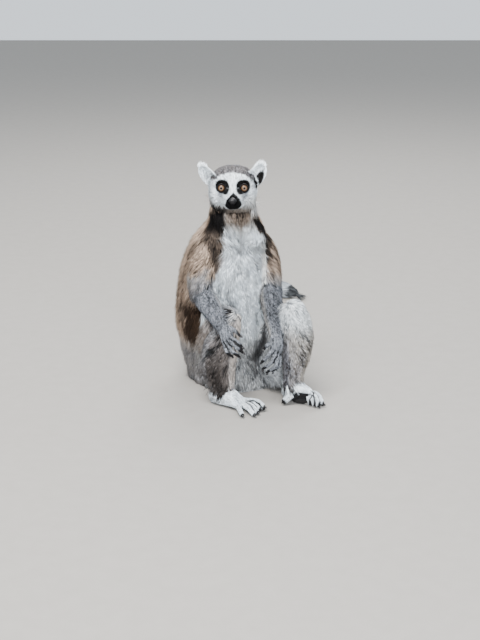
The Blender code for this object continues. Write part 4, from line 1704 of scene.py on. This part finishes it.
def build_eye(side):
    """An eyeball with a slight bulge over the iris, looking ahead."""
    bm = bmesh.new()
    bmesh.ops.create_uvsphere(bm, u_segments=48, v_segments=40, radius=EYE_RADIUS * 0.985)
    reach, swing = [], []
    for v in bm.verts:
        off = math.hypot(v.co.x, v.co.y)
        reach.append(off if v.co.z > 0 else EYE_REACH)
        swing.append(abs(math.atan2(v.co.y, v.co.x)))
        if v.co.z > 0 and off < BULGE_REACH:
            v.co.z += BULGE_RISE * (1 - (off / BULGE_REACH) ** 2)
    bmesh.ops.transform(bm, matrix=facing(gaze(side), EYE_CENTRES[side]), verts=bm.verts)
    obj = finished(f"eyeball_{side}", bm, "eye", (f"eye_{side}",))
    keep(obj.data, "reach", np.array(reach))
    keep(obj.data, "swing", np.array(swing))


def build_lids(side, sizes):
    """The dark rim of both lids, slightly almond shaped, on the front of the eyeball."""
    bm = bmesh.new()
    half = sizes.lid_width
    depth = math.sqrt(EYE_RADIUS**2 - half**2)
    upright = Matrix.Rotation(math.radians(90), 4, "X")
    rim = bmesh.ops.create_circle(
        bm,
        segments=10,
        radius=LID_THICKNESS / 2,
        matrix=Matrix.Translation((half + 0.0002, 0, depth)) @ upright,
    )
    bmesh.ops.spin(
        bm,
        geom=rim["verts"] + list(bm.edges),
        cent=(0, 0, 0),
        axis=(0, 0, 1),
        angle=math.radians(360),
        steps=48,
        use_merge=True,
    )
    for v in bm.verts:
        reach = v.co.length
        v.co.y *= sizes.lid_height / half
        v.co = v.co.normalized() * reach
    turn = Matrix(eye_axes(side)).transposed().to_4x4()
    place = Matrix.Translation(EYE_CENTRES[side]) @ turn
    bmesh.ops.transform(bm, matrix=place, verts=bm.verts)
    inward = -1 if side == "left" else 1
    for v in bm.verts:
        off = v.co - EYE_CENTRES[side]
        corner = smoothstep(0.004, 0.008, inward * off.x).item()
        v.co.x += inward * 0.0006 * corner
        v.co.z -= 0.0005 * corner
    finished(f"lids_{side}", bm, "lid")


def soft_spot(x, z, wide, high):
    """1 in the middle of a soft oval spot, fading to 0."""
    return math.exp(-((x / wide) ** 2) - (z / high) ** 2)


def build_nose():
    """The nose pad: a rounded wedge with a groove down the middle and two nostrils."""
    low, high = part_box("nose")
    centre, size = (low + high) / 2, (high - low) / 2
    bm = bmesh.new()
    bmesh.ops.create_icosphere(bm, subdivisions=5, radius=1.0)
    for v in bm.verts:
        x, y, z = v.co
        pinch = 1 - 0.30 * max(0.0, -z) - 0.06 * max(0.0, z)
        place = Vector((x * size.x * pinch, y * size.y * 0.98, z * size.z))
        if y < 0.2:
            groove = soft_spot(place.x, 0.0, 0.00055, 1.0) * max(0.0, 0.35 - z)
            place.y += 0.0011 * min(1.0, groove)
            for way in (-1, 1):
                off_x = place.x - way * 0.0040
                off_z = place.z + 0.0006 + 0.35 * way * off_x
                pit = soft_spot(off_x, off_z, 0.0013, 0.0009)
                place += Vector((-way * 0.0006, 0.0021, 0)) * pit
                place.y -= 0.0004 * soft_spot(off_x, off_z - 0.0016, 0.0022, 0.0013)
        v.co = centre + place
    finished("nose_pad", bm, "nose leather", ("nose",))


def digit_end(name, palm):
    """Tip, direction and back side of a finger or toe."""
    places = node_places(name)
    reach = places @ long_axis(name, node_centre(name) - node_centre(palm))
    low, high = reach.min(), reach.max()
    cuts = [low + (high - low) * k / 3 for k in range(4)]
    root, middle, end = (
        places[(reach >= start) & (reach <= stop)].mean(axis=0)
        for start, stop in zip(cuts, cuts[1:])
    )
    way = Vector(unit(end - middle))
    back = Vector(middle - (root + end) / 2)
    if back.length < 0.0006 or "toe" in name:
        back = Vector((0, 0, 1))
    back = (back - way * back.dot(way)).normalized()
    return Vector(places[reach.argmax()]), way, back


NAIL_HALF_WIDTH = 0.0019
CLAW_HALF_WIDTH = 0.0014
NAIL_HALF_DEPTH = 0.0012


def build_nails(palm, sizes):
    """The nails of one hand or foot: short arched plates, a pointed claw on the second toe."""
    bm = bmesh.new()
    for name in digits_of(palm):
        tip, way, back = digit_end(name, palm)
        across = way.cross(back)
        half = Vector((NAIL_HALF_WIDTH, sizes.nail_length * 0.5, NAIL_HALF_DEPTH))
        if name.startswith("second_toe"):
            half = Vector((CLAW_HALF_WIDTH, sizes.nail_length * 0.62, NAIL_HALF_DEPTH))
        place = tip - way * (half.y * 0.62) + back * 0.0014
        turn = Matrix((across, way, back)).transposed().to_4x4()
        plate = bmesh.ops.create_uvsphere(
            bm,
            u_segments=14,
            v_segments=9,
            radius=1.0,
            matrix=Matrix.Translation(place) @ turn @ Matrix.Diagonal((*half, 1.0)),
        )
        for v in plate["verts"]:
            off = v.co - place
            front = max(0.0, off.dot(way) / half.y)
            v.co -= back * (0.0009 * front**2)
            v.co -= across * off.dot(across) * 0.45 * front
            v.co.z = max(v.co.z, NAIL_FLOOR)
    finished(f"nails_{palm}", bm, "nail")


# The dark pad is partly the black sole and partly a stand-in for the shadow under the arch.
SOLE_MIDDLE = Vector((0.1060, -0.1310, 0.0092))
SOLE_HALF = Vector((0.0180, 0.0068, 0.0085))
SOLE_TURN = Matrix.Rotation(math.radians(-18.7), 3, "Z")


def build_sole_pad_and_shadow():
    """The dark pad under the arch of the raised left foot: its black sole, reaching down to
    stand in for the shadow in the hollow.
    """
    bm = bmesh.new()
    bmesh.ops.create_icosphere(bm, subdivisions=4, radius=1.0)
    for v in bm.verts:
        swell = 1 + 0.03 * math.sin(9 * v.co.x + 4 * v.co.y)
        v.co = SOLE_MIDDLE + SOLE_TURN @ (v.co * SOLE_HALF * swell)
        v.co.z = max(v.co.z, SOLE_FLOOR)
    finished("sole_pad_left", bm, "nose leather")


# ---------------------------------------------------------------- the stage
FLOOR_SHADES = ((0.240, 0.226, 0.209), (0.272, 0.258, 0.240))
SKY = (0.86, 0.93, 1.0, 1.0)
LAMP_AIM = Vector((0, 0, 0.2))

# Name, place, width, watts and colour of each soft light.
LAMPS = (
    ("key", (-0.5, -1.1, 2.4), 1.5, 176.0, (1.0, 0.98, 0.95)),
    ("fill", (0.5, -2.5, 0.9), 1.8, 128.0, (0.92, 0.96, 1.0)),
    ("rim", (0.3, 1.6, 2.2), 1.3, 80.0, (1.0, 0.99, 0.97)),
)
CAMERA_PLACE = (0.0068, -2.0657, 0.774)
CAMERA_TILT = 72.0
CAMERA_LENS = 70.9


def build_stage():
    """Pale floor, soft lights and the camera."""
    scene = bpy.context.scene
    bm = bmesh.new()
    bmesh.ops.create_grid(bm, x_segments=1, y_segments=1, size=6.0)
    mesh = bpy.data.meshes.new("floor")
    bm.to_mesh(mesh)
    bm.free()
    material, tree, shader = new_material("floor", 0.9)
    grain = texture(tree, "Noise", Scale=40.0, Detail=4.0).outputs["Fac"]
    tree.links.new(mixed(tree, grain, *FLOOR_SHADES), shader.inputs["Base Color"])
    mesh.materials.append(material)
    floor = bpy.data.objects.new("floor", mesh)
    scene.collection.objects.link(floor)
    world = bpy.data.worlds.new("studio")
    world.use_nodes = True
    background = world.node_tree.nodes["Background"]
    background.inputs["Color"].default_value = SKY
    background.inputs["Strength"].default_value = 1.25
    scene.world = world
    for name, spot, size, power, tint in LAMPS:
        lamp = bpy.data.lights.new(name, "AREA")
        lamp.energy = power
        lamp.size = size
        lamp.color = tint
        obj = bpy.data.objects.new(name, lamp)
        obj.location = spot
        obj.visible_glossy = name != "fill"
        obj.rotation_euler = (LAMP_AIM - Vector(spot)).to_track_quat("-Z", "Y").to_euler()
        scene.collection.objects.link(obj)
    data = bpy.data.cameras.new("camera")
    data.lens = CAMERA_LENS
    data.sensor_width = 36.0
    camera = bpy.data.objects.new("camera", data)
    camera.location = CAMERA_PLACE
    camera.rotation_euler = (math.radians(CAMERA_TILT), 0.0, 0.0)
    scene.collection.objects.link(camera)
    scene.camera = camera


# ---------------------------------------------------------------- operators
class LEMUR_OT_finishes(Operator):
    """Makes the materials of the coat, the skin, the eyes, the nose and the nails."""

    bl_idname = "lemur.finishes"
    bl_label = "Make finishes"

    def execute(self, context):
        make_finishes(context.scene.lemur_colours, context.scene.lemur_sizes)
        return {"FINISHED"}


class LEMUR_OT_skin(Operator):
    """Lays one skin under the coat, with lids and its markings, among them painted shade in the
    lap's folds.
    """

    bl_idname = "lemur.skin"
    bl_label = "Build skin"

    def execute(self, context):
        skin = build_skin(context.scene.lemur_sizes)
        skin.data.materials.append(bpy.data.materials["skin"])
        CoatGround.current = CoatGround(skin, context.scene.lemur_coat)
        return {"FINISHED"}


class LEMUR_OT_eyes(Operator):
    """Puts in the eyeballs and the rims of their lids."""

    bl_idname = "lemur.eyes"
    bl_label = "Build eyes"

    def execute(self, context):
        for side in SIDES:
            build_eye(side)
            build_lids(side, context.scene.lemur_sizes)
        return {"FINISHED"}


class LEMUR_OT_nose(Operator):
    """Shapes the nose pad with its nostrils and groove."""

    bl_idname = "lemur.nose"
    bl_label = "Build nose"

    def execute(self, context):
        build_nose()
        return {"FINISHED"}


class LEMUR_OT_nails(Operator):
    """Puts a nail on every finger and toe, and the dark pad under the left foot, which stands in
    for its sole and the shadow under its arch.
    """

    bl_idname = "lemur.nails"
    bl_label = "Build nails and sole"

    def execute(self, context):
        for side in SIDES:
            for palm in of_side(("hand", "foot"), side):
                build_nails(palm, context.scene.lemur_sizes)
        build_sole_pad_and_shadow()
        return {"FINISHED"}


class LEMUR_OT_head_coat(Operator):
    """Grows the short coat of the face, the crown and the ears."""

    bl_idname = "lemur.head_coat"
    bl_label = "Grow head coat"

    def execute(self, context):
        def face(places):
            return places[:, 1] < FACE.y + FACE_COAT_DEPTH

        def crown(places):
            return ~face(places)

        grow_coat("coat_face", ("head",), 1, side=face, hang=ruff)
        grow_coat("coat_crown", ("head",), 1, side=crown, hang=ruff)
        grow_coat("coat_muzzle", ("muzzle",), 1, lift=0.04)
        grow_coat("coat_ears", of_both("ear"), 1)
        return {"FINISHED"}


class LEMUR_OT_trunk_coat(Operator):
    """Grows the long coat of the neck, the chest, the belly, the back and the rump."""

    bl_idname = "lemur.trunk_coat"
    bl_label = "Grow trunk coat"

    def execute(self, context):
        def front(places):
            return np.abs(trunk_angle(places)) < FRONT_COAT_ANGLE

        def back(places):
            return ~front(places)

        grow_coat("coat_neck", ("neck",))
        for form in ("chest", "belly"):
            grow_coat(f"coat_{form}_front", (form,), side=front)
            grow_coat(f"coat_{form}_back", (form,), lift=0.22, side=back)
        grow_coat("coat_rump", ("rump",), hang=hang_low)
        return {"FINISHED"}


class LEMUR_OT_limb_coat(Operator):
    """Grows the coat of the arms, the legs, the hands and the feet."""

    bl_idname = "lemur.limb_coat"
    bl_label = "Grow limb coat"

    def execute(self, context):
        for side in SIDES:
            arm = of_side(("upper_arm", "forearm"), side)
            thigh, shin = of_side(("thigh", "shin"), side)
            grow_coat(f"coat_arm_{side}", arm, lift=0.18)
            grow_coat(f"coat_thigh_{side}", (thigh,), hang=hang_low)
            grow_coat(f"coat_shin_{side}", (shin,))
            grow_coat(f"coat_hand_{side}", of_side(HAND, side), 1, lift=0.03)
            grow_coat(f"coat_foot_{side}", of_side(FOOT, side), 1, lift=0.03)
        return {"FINISHED"}


class LEMUR_OT_tail_coat(Operator):
    """Grows the ringed coat of the tail."""

    bl_idname = "lemur.tail_coat"
    bl_label = "Grow tail coat"

    def execute(self, context):
        grow_coat("coat_tail_root", TAIL[:3])
        grow_coat("coat_tail_end", TAIL[3:])
        return {"FINISHED"}


class LEMUR_OT_stage(Operator):
    """Adds the floor, the soft lights and the camera."""

    bl_idname = "lemur.stage"
    bl_label = "Add stage"

    def execute(self, context):
        build_stage()
        return {"FINISHED"}


STEPS = (
    LEMUR_OT_finishes,
    LEMUR_OT_skin,
    LEMUR_OT_eyes,
    LEMUR_OT_nose,
    LEMUR_OT_nails,
    LEMUR_OT_head_coat,
    LEMUR_OT_trunk_coat,
    LEMUR_OT_limb_coat,
    LEMUR_OT_tail_coat,
    LEMUR_OT_stage,
)


class LEMUR_PT_panel(Panel):
    """The lemur's colours, sizes and building steps."""

    bl_label = "Lemur"
    bl_idname = "LEMUR_PT_panel"
    bl_space_type = "VIEW_3D"
    bl_region_type = "UI"
    bl_category = "Lemur"

    def draw(self, context):
        layout = self.layout
        for group in ("lemur_colours", "lemur_sizes", "lemur_coat"):
            settings = getattr(context.scene, group)
            box = layout.box()
            for name in settings.__annotations__:
                box.prop(settings, name)
        for step in STEPS:
            layout.operator(step.bl_idname)


CLASSES = (LemurColours, LemurSizes, LemurCoat, *STEPS, LEMUR_PT_panel)


def register():
    for cls in CLASSES:
        bpy.utils.register_class(cls)
    bpy.types.Scene.lemur_colours = PointerProperty(type=LemurColours)
    bpy.types.Scene.lemur_sizes = PointerProperty(type=LemurSizes)
    bpy.types.Scene.lemur_coat = PointerProperty(type=LemurCoat)


def unregister():
    for name in ("lemur_coat", "lemur_sizes", "lemur_colours"):
        delattr(bpy.types.Scene, name)
    for cls in reversed(CLASSES):
        bpy.utils.unregister_class(cls)


def main():
    register()
    bpy.ops.lemur.finishes()
    bpy.ops.lemur.skin()
    bpy.ops.lemur.eyes()
    bpy.ops.lemur.nose()
    bpy.ops.lemur.nails()
    bpy.ops.lemur.head_coat()
    bpy.ops.lemur.trunk_coat()
    bpy.ops.lemur.limb_coat()
    bpy.ops.lemur.tail_coat()
    bpy.ops.lemur.stage()


if __name__ == "__main__":
    main()
